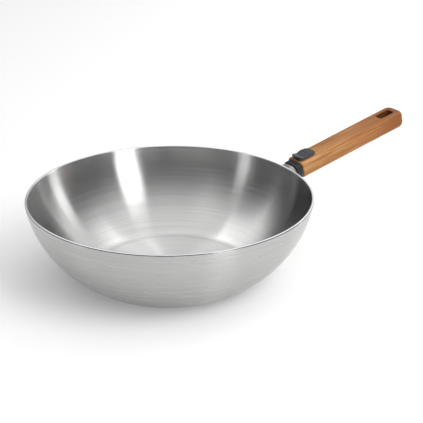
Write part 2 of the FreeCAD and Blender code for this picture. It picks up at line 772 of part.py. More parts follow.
def receiver_channel():
    """The moulded block in the grip: the way for the tongue, a deep well for the slider's
    legs, a shelf for the leaf and a back wall for the spring's pin."""
    body = new_body("receiver_channel")
    block = new_sketch(body, "YZ", "receiver_front")
    rounded_rectangle(block, "-receiver_half", "receiver_half", "receiver_low", "receiver_top",
                      "receiver_corner")
    add_pad(body, block, "receiver_length")
    way = new_sketch(body, "YZ", "receiver_front")
    rectangle(way, "-way_half", "way_half", "way_low", "way_top")
    add_cut(body, way, "way_length")
    well = new_sketch(body, "XY", "way_low")
    rectangle(well, "front_block", "well_end", "-well_half", "well_half")
    add_cut(body, well, "well_height")
    trough = new_sketch(body, "XY", "way_top")
    rectangle(trough, "front_block", "trough_end", "-well_half", "well_half")
    add_cut(body, trough, "trough_height")
    pin_hole = new_sketch(body, "YZ", "trough_end")
    circle(pin_hole, "0", "pin_height", "pin_radius")
    add_cut(body, pin_hole, "back_wall")
    for side in ("collar_screw_side", "-collar_screw_side"):
        hole = new_sketch(body, "YZ", "receiver_front")
        circle(hole, side, "collar_screw_height", "small_screw_radius")
        add_cut(body, hole, "front_hole_depth")
    for along in ("cover_screw_front", "cover_screw_back"):
        for side in ("cover_screw_side", "-cover_screw_side"):
            hole = new_sketch(body, "XY", "cover_hole_floor")
            circle(hole, along, side, "small_screw_radius")
            add_cut(body, hole, "cover_screw_length")
    for place in ("grip_screw_first", "grip_screw_second"):
        hole = new_sketch(body, "XY", "receiver_low")
        circle(hole, place, "0", "grip_screw_radius")
        add_cut(body, hole, "grip_hole_depth")
    for side in ("rivet_side", "-rivet_side"):
        hole = new_sketch(body, "XY", "rivet_low")
        circle(hole, "rivet_place", side, "rivet_radius")
        add_cut(body, hole, "rivet_depth")
    onto_handle(body)
    return body


def receiver_cover():
    """The lid of the channel. Its boss comes up flush through the grip's window and guides
    the slider's stem."""
    body = new_body("receiver_cover")
    plate = new_sketch(body, "XY", "receiver_top")
    rectangle(plate, "receiver_front", "receiver_back", "-receiver_half", "receiver_half")
    add_pad(body, plate, "cover_thickness")

    def is_long_top_edge(edge):
        return runs_along(edge, 0) and near(middle(edge).z, "cover_top")

    round_edges(body, "cover_corner", is_long_top_edge)
    boss = new_sketch(body, "XY", "cover_top")
    rounded_rectangle(boss, "boss_start", "boss_end", "-boss_half", "boss_half",
                      "receiver_corner")
    add_pad(body, boss, "boss_height")
    slot = new_sketch(body, "XY", "receiver_top")
    rounded_rectangle(slot, "slot_start", "slot_end", "-slot_half", "slot_half",
                      "slot_corner")
    add_cut(body, slot, "slot_height")
    for along in ("cover_screw_front", "cover_screw_back"):
        for side in ("cover_screw_side", "-cover_screw_side"):
            hole = new_sketch(body, "XY", "receiver_top")
            circle(hole, along, side, "small_screw_radius")
            add_cut(body, hole, "cover_thickness")

            def is_mouth(edge, x=along, y=side):
                centre = middle(edge)
                return near(centre.z, "cover_top") and near(centre.x, x) and near(centre.y, y)

            bevel = round_edges(body, "small_head_height", is_mouth, chamfer=True)
            bevel.ChamferType = "Two distances"
            bevel.setExpression("Size", "Sizes.small_head_radius - Sizes.small_screw_radius")
            bevel.setExpression("Size2", "Sizes.small_head_height")
            DOC.recompute()
    onto_handle(body)
    return body


def front_collar():
    """The dark ring on the grip's front, with a groove around it and a spigot that fills the
    pocket's mouth."""
    body = new_body("front_collar")
    ring = new_sketch(body, "YZ", "-collar_length")
    rounded_rectangle(ring, "-collar_half", "collar_half", "-collar_top", "collar_top",
                      "collar_corner")
    add_pad(body, ring, "collar_length")
    round_edges(body, "collar_bevel", lambda edge: near(middle(edge).x, "-collar_length"),
                chamfer=True)
    groove = new_sketch(body, "YZ", "-groove_start")
    rectangle(groove, "-collar_width", "collar_width", "-collar_height", "collar_height")
    rounded_rectangle(groove, "-groove_half", "groove_half", "-groove_top", "groove_top",
                      "groove_corner")
    add_cut(body, groove, "groove_width")
    spigot = new_sketch(body, "YZ")
    rounded_rectangle(spigot, "-spigot_half", "spigot_half", "spigot_low", "spigot_top",
                      "receiver_corner", "cover_corner")
    add_pad(body, spigot, "spigot_length")
    way = new_sketch(body, "YZ", "-collar_length")
    rectangle(way, "-way_half", "way_half", "way_low", "way_top")
    add_cut(body, way, "collar_through")
    for side in ("collar_screw_side", "-collar_screw_side"):
        hole = new_sketch(body, "YZ", "-collar_length")
        circle(hole, side, "collar_screw_height", "small_screw_radius")
        add_cut(body, hole, "collar_through")
        head = new_sketch(body, "YZ", "-collar_length")
        circle(head, side, "collar_screw_height", "small_head_radius")
        add_cut(body, head, "small_head_height")
    onto_handle(body)
    return body


def collar_seal():
    """A soft ring on the collar's face that the neck closes against."""
    body = new_body("collar_seal")
    ring = new_sketch(body, "YZ", "-seal_front")
    rounded_rectangle(ring, "-seal_half", "seal_half", "-seal_top", "seal_top", "seal_corner")
    rectangle(ring, "-way_half", "way_half", "way_low", "way_top")
    add_pad(body, ring, "seal_thickness")
    onto_handle(body)
    return body


def tongue_bumper():
    """A rubber pad at the bottom of the tongue's way, which takes up the play."""
    body = new_body("tongue_bumper")
    face = new_sketch(body, "YZ", "bumper_start")
    rectangle(face, "-way_half", "way_half", "way_low", "bumper_top")
    add_pad(body, face, "bumper_thickness")
    onto_handle(body)
    return body


def latch_leaf():
    """A flat spring on the channel's shelf. Its nose drops into the tongue's window, and its
    ears stand over the slider's ramps, which lift it."""
    body = new_body("latch_leaf")
    side = new_sketch(body, "XZ")
    polygon(side, [
        ("leaf_end", "leaf_low"), ("leaf_end", "leaf_top"), ("nose_start", "leaf_top"),
        ("nose_start", "nose_tip"), ("nose_heel", "nose_tip"), ("nose_end", "leaf_low"),
    ])
    add_pad(body, side, "leaf_width", symmetric=True)
    ears = new_sketch(body, "XY", "leaf_low")
    rectangle(ears, "ear_start", "ear_end", "-ear_half", "ear_half")
    add_pad(body, ears, "leaf_thickness")
    for at in ("rivet_side", "-rivet_side"):
        hole = new_sketch(body, "XY", "leaf_low")
        circle(hole, "rivet_place", at, "rivet_radius")
        add_cut(body, hole, "leaf_thickness")
    onto_handle(body)
    return body


def spring_guide_pin():
    """A headless steel pin, pressed into the channel's back wall, that keeps the coil straight."""
    body = new_body("spring_guide_pin")
    end = new_sketch(body, "YZ", "pin_start")
    circle(end, "0", "pin_height", "pin_radius")
    add_pad(body, end, "pin_length")
    onto_handle(body)
    return body


# ---------------------------------------------------------------- the slider
def release_slider():
    """What the thumb pulls: a tab with a raised lip at the pan's end, a dip for the thumb and
    a low hump behind it."""
    body = new_body("release_slider")
    side = new_sketch(body, "XZ")
    polygon(side, [
        ("slider_foot", "slider_low"), ("slider_end", "slider_low"),
        ("slider_end", "slider_back_top"), ("slider_hump", "slider_hump_top"),
        ("slider_dip", "slider_dip_top"), ("slider_crest", "slider_lip_top"),
        ("slider_start", "slider_lip_top"), ("slider_start", "slider_lip_low"),
    ])
    add_pad(body, side, "slider_width", symmetric=True)

    def at(edge, *places):
        return any(near(middle(edge).x, place) for place in places)

    round_edges(body, "slider_corner", lambda edge: runs_along(edge, 2) and at(edge, "slider_end"))
    round_edges(body, "slider_front_corner",
                lambda edge: runs_along(edge, 2) and at(edge, "slider_start"))
    for place in ("slider_crest", "slider_dip", "slider_hump"):
        round_edges(body, f"{place}_round", lambda edge: runs_along(edge, 1) and at(edge, place))

    def is_top_outline(edge):
        above = edge.BoundBox.ZMin > amount("slider_dip_top") - 0.01
        inside = runs_along(edge, 1) and not at(edge, "slider_start", "slider_end")
        return above and not inside and not runs_along(edge, 2)

    round_edges(body, "slider_round", is_top_outline)
    for side_ in ("slider_screw_side", "-slider_screw_side"):
        hole = new_sketch(body, "XY", "slider_low")
        circle(hole, "slider_screw_place", side_, "small_screw_radius")
        add_cut(body, hole, "slider_hole_depth")
    onto_handle(body)
    return body


def slider_carriage():
    """The slider's inner half: a plate under the cover with a stem up to the pad, a seat and
    a bore for the spring, and a ramped leg at each side of the tongue."""
    body = new_body("slider_carriage")
    plate = new_sketch(body, "XY", "carriage_low")
    rectangle(plate, "carriage_front", "carriage_back", "-carriage_half", "carriage_half")
    add_pad(body, plate, "carriage_thickness")
    stem = new_sketch(body, "XY", "carriage_top")
    rounded_rectangle(stem, "stem_start", "stem_end", "-stem_half", "stem_half", "stem_corner")
    add_pad(body, stem, "stem_height")
    legs = new_sketch(body, "XZ")
    polygon(legs, [
        ("leg_start", "leg_low"), ("leg_end", "leg_low"), ("ramp_tip", "ramp_low"),
        ("leg_end", "ramp_top"), ("leg_end", "carriage_low"), ("leg_start", "carriage_low"),
    ])
    add_pad(body, legs, "carriage_width", symmetric=True)
    between = new_sketch(body, "XY", "leg_low")
    rectangle(between, "leg_start", "ramp_tip", "-leg_inner", "leg_inner")
    add_cut(body, between, "leg_height")
    seat = new_sketch(body, "YZ", "seat_start")
    circle(seat, "0", "pin_height", "seat_radius")
    add_cut(body, seat, "seat_depth")
    bore = new_sketch(body, "YZ", "pin_bore_start")
    circle(bore, "0", "pin_height", "pin_bore")
    add_cut(body, bore, "pin_bore_length")
    for side in ("slider_screw_side", "-slider_screw_side"):
        hole = new_sketch(body, "XY", "carriage_low")
        circle(hole, "slider_screw_place", side, "small_screw_radius")
        add_cut(body, hole, "carriage_and_stem")
        head = new_sketch(body, "XY", "carriage_low")
        circle(head, "slider_screw_place", side, "small_head_radius")
        add_cut(body, head, "small_head_height")
    onto_handle(body)
    return body


def return_spring():
    """The coil between the carriage's seat and the back wall, of square wire."""
    path = DOC.addObject("Part::Helix", "coil_path")
    path.setExpression("Pitch", "Sizes.coil_pitch")
    path.setExpression("Height", "Sizes.spring_length")
    path.setExpression("Radius", "Sizes.coil_radius")
    path.Placement = FreeCAD.Placement(
        FreeCAD.Vector(amount("spring_start"), 0, amount("pin_height")),
        FreeCAD.Rotation(FreeCAD.Vector(0, 1, 0), 90))
    path.setExpression("Placement.Base.x", "Sizes.spring_start")
    path.setExpression("Placement.Base.z", "Sizes.pin_height")
    wire = DOC.addObject("Part::RegularPolygon", "coil_wire")
    wire.Polygon = 4
    wire.setExpression("Circumradius", "Sizes.wire_radius")
    wire.Placement = FreeCAD.Placement(
        FreeCAD.Vector(amount("spring_start"), 0, amount("pin_height") - amount("coil_radius")),
        FreeCAD.Rotation(FreeCAD.Vector(1, 0, 0), 90))
    wire.setExpression("Placement.Base.x", "Sizes.spring_start")
    wire.setExpression("Placement.Base.z", "Sizes.pin_height - Sizes.coil_radius")
    coil = DOC.addObject("Part::Sweep", "return_spring")
    coil.Label = "return_spring"
    coil.Sections = [wire]
    coil.Spine = (path, [])
    coil.Solid = True
    coil.Frenet = True
    DOC.recompute()
    onto_handle(coil)
    return coil


# ---------------------------------------------------------------- fasteners
DIRECTIONS = {
    "up": FreeCAD.Rotation(),
    "down": FreeCAD.Rotation(FreeCAD.Vector(1, 0, 0), 180),
    "out": FreeCAD.Rotation(FreeCAD.Vector(0, 1, 0), 90),
}


def primitive(kind, label, place, direction, **sizes):
    """A primitive of the Part workbench whose sizes and place follow the sheet."""
    item = DOC.addObject(f"Part::{kind}", label)
    for name, term in sizes.items():
        item.setExpression(name, formula(term))
    item.Placement = FreeCAD.Placement(
        FreeCAD.Vector(*[amount(term) for term in place]), DIRECTIONS[direction])
    for axis, term in zip("xyz", place):
        item.setExpression(f"Placement.Base.{axis}", formula(term))
    return item


def fastener_group(label, places, direction, radius, length, head, head_radius, head_height):
    """Several like fasteners as one group. A place is the centre of the head's outer face, and
    the shank runs from there in the given direction."""
    parts = []
    for number, place in enumerate(places, start=1):
        shank = primitive("Cylinder", f"{label}_shank_{number}", place, direction,
                          Radius=radius, Height=length)
        if head == "cone":
            top = primitive("Cone", f"{label}_head_{number}", place, direction,
                            Radius1=head_radius, Radius2=radius, Height=head_height)
        else:
            top = primitive("Cylinder", f"{label}_head_{number}", place, direction,
                            Radius=head_radius, Height=head_height)
        parts += [shank, top]
    group = DOC.addObject("Part::MultiFuse", label)
    group.Label = label
    group.Shapes = parts
    DOC.recompute()
    onto_handle(group)
    return group


def grip_screws():
    places = [(x, "0", "-grip_top") for x in ("grip_screw_first", "grip_screw_second")]
    return fastener_group("grip_screws", places, "up", "grip_screw_radius", "grip_screw_length",
                          "cone", "grip_head_radius", "grip_head_height")


def cover_screws():
    places = [(x, y, "cover_top") for x in ("cover_screw_front", "cover_screw_back")
              for y in ("cover_screw_side", "-cover_screw_side")]
    return fastener_group("cover_screws", places, "down", "small_screw_radius",
                          "cover_screw_length", "cone", "small_head_radius", "small_head_height")


def collar_screws():
    places = [("-collar_length", y, "collar_screw_height")
              for y in ("collar_screw_side", "-collar_screw_side")]
    return fastener_group("collar_screws", places, "out", "small_screw_radius",
                          "collar_screw_length", "flat", "small_head_radius", "small_head_height")


def slider_screws():
    places = [("slider_screw_place", y, "carriage_low")
              for y in ("slider_screw_side", "-slider_screw_side")]
    return fastener_group("slider_screws", places, "up", "small_screw_radius",
                          "slider_screw_length", "flat", "small_head_radius", "small_head_height")


def leaf_rivets():
    places = [("rivet_place", y, "rivet_head_top") for y in ("rivet_side", "-rivet_side")]
    return fastener_group("leaf_rivets", places, "down", "rivet_radius", "rivet_full_length",
                          "flat", "rivet_head_radius", "rivet_head_height")


# ---------------------------------------------------------------- the whole wok
def build():
    envelope = seat_envelope()
    return [
        wok_bowl(),
        bracket_saddle(),
        neck_shroud(envelope),
        docking_tongue(envelope),
        wooden_grip(),
        front_collar(),
        collar_seal(),
        receiver_channel(),
        receiver_cover(),
        tongue_bumper(),
        latch_leaf(),
        leaf_rivets(),
        spring_guide_pin(),
        grip_screws(),
        cover_screws(),
        collar_screws(),
        release_slider(),
        slider_carriage(),
        slider_screws(),
        return_spring(),
    ]


def check(pieces):
    """Stops if any object of the document failed, or a piece has no sound solid."""
    for item in DOC.Objects:
        if "Invalid" in item.State or "Error" in item.State:
            raise RuntimeError(f"{item.Name} failed: {item.State}")
    for piece in pieces:
        shape = piece.Shape
        if shape.isNull() or not shape.isValid() or not shape.Solids:
            raise RuntimeError(f"{piece.Label} has no sound solid")


def export(pieces):
    os.makedirs("parts", exist_ok=True)
    for piece in pieces:
        piece.Shape.exportStep(f"parts/{piece.Label}.step")
        box = piece.Shape.BoundBox
        print(f"{piece.Label:18} {len(piece.Shape.Solids)} solid(s) {piece.Shape.Volume:10.1f} mm3"
              f"  x {box.XMin:.1f}..{box.XMax:.1f}  y {box.YMin:.1f}..{box.YMax:.1f}"
              f"  z {box.ZMin:.1f}..{box.ZMax:.1f}")


PIECES = build()
DOC.recompute()
check(PIECES)
export(PIECES)
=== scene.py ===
# %% [markdown]
# # A steel wok with a wooden handle that comes off
# The frame holds the wok as it was constructed: every piece at its real size, on three bodies
# that slide. This lesson dresses it. It starts by loading the frame.

# %% Load the frame
import json
import math
import bpy
from mathutils import Matrix, Vector


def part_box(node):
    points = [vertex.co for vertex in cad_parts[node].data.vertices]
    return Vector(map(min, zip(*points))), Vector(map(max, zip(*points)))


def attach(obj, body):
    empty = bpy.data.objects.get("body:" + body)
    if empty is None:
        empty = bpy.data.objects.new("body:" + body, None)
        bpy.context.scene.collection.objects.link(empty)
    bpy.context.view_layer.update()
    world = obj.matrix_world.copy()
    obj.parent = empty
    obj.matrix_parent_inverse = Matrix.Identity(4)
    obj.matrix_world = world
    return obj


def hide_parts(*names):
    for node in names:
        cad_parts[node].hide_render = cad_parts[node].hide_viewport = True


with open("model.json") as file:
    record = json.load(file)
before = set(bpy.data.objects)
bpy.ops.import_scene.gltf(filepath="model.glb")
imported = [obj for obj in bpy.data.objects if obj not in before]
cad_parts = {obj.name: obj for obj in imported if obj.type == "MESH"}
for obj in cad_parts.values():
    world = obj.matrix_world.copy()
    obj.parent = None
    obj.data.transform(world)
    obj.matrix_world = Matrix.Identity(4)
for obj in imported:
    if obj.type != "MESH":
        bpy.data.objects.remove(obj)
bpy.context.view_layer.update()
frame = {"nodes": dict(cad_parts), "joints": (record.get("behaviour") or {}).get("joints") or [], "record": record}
nodes = frame["nodes"]

# %% [markdown]
# ## The handle's own frame
# The grip leans up from the rim, so anything made for it is easiest to draw level and then
# turned into place. The joint that lets the handle slide off gives the lean, and the slot for
# hanging gives a point on the grip's middle line. One matrix then carries points from the
# grip's frame, with x along it, y across and z up, into the wok's.

# %% The matrix of the grip
HANG_PLACE = 0.1324  # from the grip's front face to the middle of its hanging slot
HANG_LENGTH = 0.0196
HANG_WIDTH = 0.0112


def named(rows, name):
    """The row of that name."""
    return next(row for row in rows if row["name"] == name)


slide_axis = Vector(named(frame["joints"], "handle_release")["axis"])
slot_middle = Vector(named(frame["record"]["mounts"], "hanging_slot")["pos_m"])
grip_front = slot_middle - slide_axis * HANG_PLACE
grip_tilt = math.atan2(slide_axis.z, slide_axis.x)
GRIP = Matrix.Translation(grip_front) @ Matrix.Rotation(-grip_tilt, 4, "Y")
print("grip starts at", [round(v, 4) for v in grip_front], "and leans",
      round(math.degrees(grip_tilt), 2), "degrees")

# %% [markdown]
# ## Helpers for materials
# Every finish here is a small node tree: one shader, and textures on Object coordinates, which
# stay with a piece when its body slides. The first helpers make the shader, and make any other
# node with its inputs in one call.

# %% Nodes
def new_material(name):
    """An empty material, with its tree and its shader."""
    material = bpy.data.materials.new(name)
    material.use_nodes = True
    tree = material.node_tree
    tree.nodes.clear()
    output = tree.nodes.new("ShaderNodeOutputMaterial")
    shader = tree.nodes.new("ShaderNodeBsdfPrincipled")
    tree.links.new(shader.outputs["BSDF"], output.inputs["Surface"])
    return material, tree, shader


def fill(tree, node, inputs):
    """Links each input to a socket, or sets it to a value."""
    for key, source in inputs.items():
        if isinstance(source, bpy.types.NodeSocket):
            tree.links.new(source, node.inputs[key])
        else:
            node.inputs[key].default_value = source


def add(tree, kind, inputs=None, **settings):
    """A new node with its settings and its inputs."""
    node = tree.nodes.new(kind)
    for name, value in settings.items():
        setattr(node, name, value)
    fill(tree, node, inputs or {})
    return node


print("node helpers are ready")

# %% [markdown]
# The next helpers each stand for one node too: a sum of numbers, a sum of vectors, a range that
# is mapped to another, and a mixture of two colours. With them a pattern reads as a formula.

# %% Sums and mixtures
MIX_FACTOR, MIX_FIRST, MIX_SECOND, MIX_RESULT = 0, 6, 7, 2  # a Mix node's sockets for colours


def maths(tree, operation, first, second=0.0):
    """One Math node."""
    return add(tree, "ShaderNodeMath", {0: first, 1: second}, operation=operation).outputs[0]


def vector_maths(tree, operation, first, second=(0, 0, 0)):
    """One Vector Math node. LENGTH gives a number, and the others give a vector."""
    node = add(tree, "ShaderNodeVectorMath", {0: first, 1: second}, operation=operation)
    return node.outputs["Value" if operation == "LENGTH" else "Vector"]


def span(tree, value, low, high, start, end):
    """Maps value from low..high to start..end, and holds it there."""
    node = add(tree, "ShaderNodeMapRange", {
        "Value": value, "From Min": low, "From Max": high, "To Min": start, "To Max": end})
    return node.outputs["Result"]


def mixed(tree, factor, first, second, blend="MIX"):
    """Two colours mixed by a factor, each a socket or three numbers."""
    first, second = (colour if isinstance(colour, bpy.types.NodeSocket) else (*colour, 1)
                     for colour in (first, second))
    node = add(tree, "ShaderNodeMix", {
        MIX_FACTOR: factor, MIX_FIRST: first, MIX_SECOND: second},
        data_type="RGBA", blend_type=blend)
    return node.outputs[MIX_RESULT]


print("sums and mixtures are ready")

# %% [markdown]
# The last ones make patterns. A noise whose cells differ in size along the three axes gives
# grain and scratches. Nearly all its values lie near the middle, so it is stretched before it
# is used as a tone or as roughness. A ramp turns values into colours, and a bump into relief.

# %% Patterns
NOISE_LOW, NOISE_HIGH = 0.3, 0.7  # nearly all values of a noise lie between these


def stretched_noise(tree, point, scales, detail=3.0, roughness=0.5):
    """Noise whose size differs along the three axes, given as cells per metre."""
    noise = add(tree, "ShaderNodeTexNoise", {
        "Vector": vector_maths(tree, "MULTIPLY", point, scales), "Scale": 1.0,
        "Detail": detail, "Roughness": roughness})
    return noise.outputs["Fac"]


def spread(tree, noise, start, end):
    """Spreads a noise over start..end."""
    return span(tree, noise, NOISE_LOW, NOISE_HIGH, start, end)


def grey(tone):
    """A colour without a hue."""
    return (tone, tone, tone)


def ramp(tree, value, stops):
    """A colour ramp from (place, colour) pairs."""
    node = add(tree, "ShaderNodeValToRGB", {"Fac": value})
    elements = node.color_ramp.elements
    while len(elements) < len(stops):
        elements.new(1.0)
    for element, (place, colour) in zip(elements, stops):
        element.position = place
        element.color = (*colour, 1)
    return node.outputs["Color"]


def relief(tree, height, strength, depth):
    """A normal that stands for fine relief of a depth in metres."""
    bump = add(tree, "ShaderNodeBump", {
        "Height": height, "Strength": strength, "Distance": depth})
    return bump.outputs["Normal"]


print("pattern helpers are ready")

# %% [markdown]
# ## Brushed steel
# The bowl is brushed while it spins, so its scratches are rings. Two things show that. The
# highlights stretch across the scratches, from the rim down to the base, which is what the
# anisotropy of the shader does. And close up the light breaks into short arcs, which a noise
# gives when its coordinates change fast from ring to ring and slowly around the axis. Noise in
# four dimensions takes the direction around the axis as a point on a circle, so it has no seam.

# %% Rings around the axis
def ring_place(tree):
    """The shading point, its direction around the axis and its distance from it."""
    point = add(tree, "ShaderNodeTexCoord").outputs["Object"]
    flat = vector_maths(tree, "MULTIPLY", point, (1, 1, 0))
    return point, vector_maths(tree, "NORMALIZE", flat), vector_maths(tree, "LENGTH", flat)


def ring_noise(tree, ring_width, arcs, detail=2.0, roughness=0.55):
    """Noise that changes within a ring's width in metres, and slowly around the axis."""
    point, around, radius = ring_place(tree)
    height = add(tree, "ShaderNodeSeparateXYZ", {0: point}).outputs["Z"]
    way = add(tree, "ShaderNodeSeparateXYZ", {0: around}).outputs
    cell = add(tree, "ShaderNodeCombineXYZ", {
        "X": maths(tree, "DIVIDE", radius, ring_width),
        "Y": maths(tree, "DIVIDE", height, ring_width),
        "Z": maths(tree, "MULTIPLY", way["X"], arcs)})
    noise = add(tree, "ShaderNodeTexNoise", {
        "Vector": cell.outputs[0], "W": maths(tree, "MULTIPLY", way["Y"], arcs),
        "Scale": 1.0, "Detail": detail, "Roughness": roughness}, noise_dimensions="4D")
    return noise.outputs["Fac"]


print("ring patterns are ready")

# %% [markdown]
# The steel itself has scratches of two widths, which change its tone and its gloss, and faint
# bands where the brush was moved along. Inside, the flat base is painted paler than the wall, a
# painted sheen, and it is duller, because the brush crosses its own marks there. The outside is
# painted a little darker, a painted shade for the floor in shadow that it reflects, and has one
# colour all over, so it is a second material from the same function. No bump is used: on rings
# as fine as these it would flicker, and the tone and the gloss already show them.

# %% Steel, brushed in rings
FINE_RINGS = (0.0004, 1.5)  # the width of a ring, and how fast it changes around the axis
BROAD_RINGS = (0.0016, 0.5)
BAND_RINGS = (0.0022, 1.2)
RING_TONES = [(NOISE_LOW, grey(0.86)), (NOISE_HIGH, grey(1.0))]
BAND_TONES = [(0.32, grey(0.96)), (0.50, grey(0.99)), (0.68, grey(1.0))]
RING_GLOSS = 0.015  # how far the roughness goes down and up from ring to ring
PAINTED_SHEEN_FADE = (0.078, 0.094)  # the distances from the axis between which the base's colour ends
DULL_FADE = (0.078, 0.090)  # and its duller gloss
BASE_DULLER = 0.14
ACROSS_RINGS = 0.25  # a quarter of a turn from the direction around the axis


def brushed_steel(name, wall, base, roughness):
    """Steel that is brushed in rings, with a colour for the wall and one for the base."""
    material, tree, shader = new_material(name)
    radius = ring_place(tree)[2]
    fine, broad = ring_noise(tree, *FINE_RINGS), ring_noise(tree, *BROAD_RINGS)
    rings = maths(tree, "MULTIPLY", maths(tree, "ADD", fine, broad), 0.5)
    bands = ring_noise(tree, *BAND_RINGS)
    # inside, the base's paler colour is a painted sheen, faded in towards the axis
    ground = mixed(tree, span(tree, radius, *PAINTED_SHEEN_FADE, 1.0, 0.0), wall, base)
    ringed = mixed(tree, 1.0, ground, ramp(tree, rings, RING_TONES), blend="MULTIPLY")
    banded = mixed(tree, 1.0, ringed, ramp(tree, bands, BAND_TONES), blend="MULTIPLY")
    gloss = spread(tree, rings, roughness - RING_GLOSS, roughness + RING_GLOSS)
    duller = span(tree, radius, *DULL_FADE, BASE_DULLER, 0.0)
    tangent = add(tree, "ShaderNodeTangent", direction_type="RADIAL", axis="Z")
    fill(tree, shader, {
        "Base Color": banded, "Roughness": maths(tree, "ADD", gloss, duller),
        "Metallic": 1.0, "Tangent": tangent.outputs["Tangent"],
        "Anisotropic": 1.0, "Anisotropic Rotation": ACROSS_RINGS})
    return material


WALL_INSIDE = (0.60, 0.60, 0.595)
# the base inside is painted paler than the wall: a painted sheen
BASE_INSIDE_PAINTED_SHEEN = (0.80, 0.80, 0.795)
# the outside is painted a little darker: painted shade for the floor in shadow that it reflects
OUTSIDE_PAINTED_SHADE = (0.56, 0.56, 0.555)
INSIDE_STEEL = brushed_steel("inside_steel", WALL_INSIDE, BASE_INSIDE_PAINTED_SHEEN, 0.255)
OUTSIDE_STEEL = brushed_steel("outside_steel", OUTSIDE_PAINTED_SHADE, OUTSIDE_PAINTED_SHADE, 0.27)
print("made", INSIDE_STEEL.name, "and", OUTSIDE_STEEL.name)

# %% [markdown]
# ## The bowl
# A pan pressed from sheet is a body of revolution, so one outline makes all of it. The outline
# is a flat base, a small arc for the heel and a large one for the wall, each running into the
# next, then back down the inside one sheet thickness away. The frame's own bowl gives the rim
# and the height, and the arcs' radii are the bowl's own.
#
# Where the wall's arc has its centre follows from two things. It runs into the heel's arc, so
# the two centres are as far apart as the radii differ. And it ends at the rim, one radius away
# from its centre. That is a triangle with three known sides, which the law of cosines solves.

# %% Where the arcs have their centres
SHEET = 0.0028
BASE_RADIUS = 0.082
HEEL_RADIUS = 0.017
WALL_RADIUS = 0.120
bowl_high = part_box("wok_bowl")[1]
RIM_RADIUS = bowl_high.x
BOWL_HEIGHT = bowl_high.z


def bowl_centres():
    """The centres of the heel's and the wall's arc, and the angle at which they meet."""
    heel = Vector((BASE_RADIUS, HEEL_RADIUS))
    reach = Vector((RIM_RADIUS, BOWL_HEIGHT)) - heel
    apart = WALL_RADIUS - HEEL_RADIUS
    cosine = (reach.length_squared + apart ** 2 - WALL_RADIUS ** 2) / (2 * apart * reach.length)
    angle = math.acos(cosine) - math.atan2(reach.x, reach.y)
    wall = heel + apart * Vector((-math.sin(angle), math.cos(angle)))
    return heel, wall, angle


print("heel and wall meet at", round(math.degrees(bowl_centres()[2]), 1), "degrees")

# %% [markdown]
# Both sides of the sheet come from one function, which is told how far to go inwards. At the top
# the sheet was cut and its two edges were rubbed round, so a quarter of a small circle goes on
# each side of the flat rim.

# %% The outline of the bowl
RIM_ROUND = 0.0012
BASE_SHARES = (0, 0.25, 0.5, 0.75, 0.98)  # the rows on the flat base, as shares of its radius
HEEL_STEPS = 8
WALL_STEPS = 40
RIM_STEPS = 4


def arc(centre, radius, start, end, steps):
    """Points on an arc in the plane of the outline, with angles from straight down."""
    angles = [start + (end - start) * step / steps for step in range(steps + 1)]
    return [Vector((centre.x + radius * math.sin(a), centre.y - radius * math.cos(a)))
            for a in angles]


def side_points(inwards, top):
    """One side of the sheet, from the axis out and up to a height, moved inwards."""
    heel, wall, angle = bowl_centres()
    end = math.acos((wall.y - top) / (WALL_RADIUS - inwards))
    base = [Vector((BASE_RADIUS * share, inwards)) for share in BASE_SHARES]
    return (base + arc(heel, HEEL_RADIUS - inwards, 0, angle, HEEL_STEPS)
            + arc(wall, WALL_RADIUS - inwards, angle, end, WALL_STEPS)[1:])


outside = side_points(0.0, BOWL_HEIGHT - RIM_ROUND)
inside = side_points(SHEET, BOWL_HEIGHT - RIM_ROUND)
to_centre = Vector((RIM_ROUND, 0))
lip_out = arc(outside[-1] - to_centre, RIM_ROUND, math.pi / 2, math.pi, RIM_STEPS)[1:]
lip_in = arc(inside[-1] + to_centre, RIM_ROUND, math.pi, 1.5 * math.pi, RIM_STEPS)[:-1]
outline = outside + lip_out + lip_in + inside[::-1]
RIM_WIDTH = outside[-1].x - inside[-1].x
RIM_START, RIM_END = len(outside) - 1, len(outline) - len(inside)
print("outline has", len(outline), "points, and the rim is", round(1000 * RIM_WIDTH, 2),
      "mm wide")

# %% [markdown]
# The bare rim shows the sheet from its edge: a skin of steel, a core of aluminium and a skin of
# steel, with a fine dark line where they are bonded. The skins are polished. The outer one is
# painted dark, a painted reflection of the dark room in the rim's rounded outer edge, and the soft
# core keeps the mat surface of the grinding belt. Colour and roughness both follow the distance
# from the outside.

# %% The layers in the rim
SKIN = 0.0005
BOND_SHARE = 0.02  # from the middle of a bond's dark line to its end, as a share of the rim
# the outer skin is painted dark: a painted reflection of the dark room in the rim's outer edge
OUTER_SKIN_PAINTED_DARK = grey(0.20)
INNER_SKIN = grey(0.62)
CORE = (0.84, 0.845, 0.85)
BOND = grey(0.16)
SCRATCHED = grey(0.35)
SCRATCH_SHARE = 0.15
RIM_RINGS = (0.0002, 14.0)
SKIN_ROUGHNESS = (0.12, 0.20)
CORE_ROUGHER = 0.26


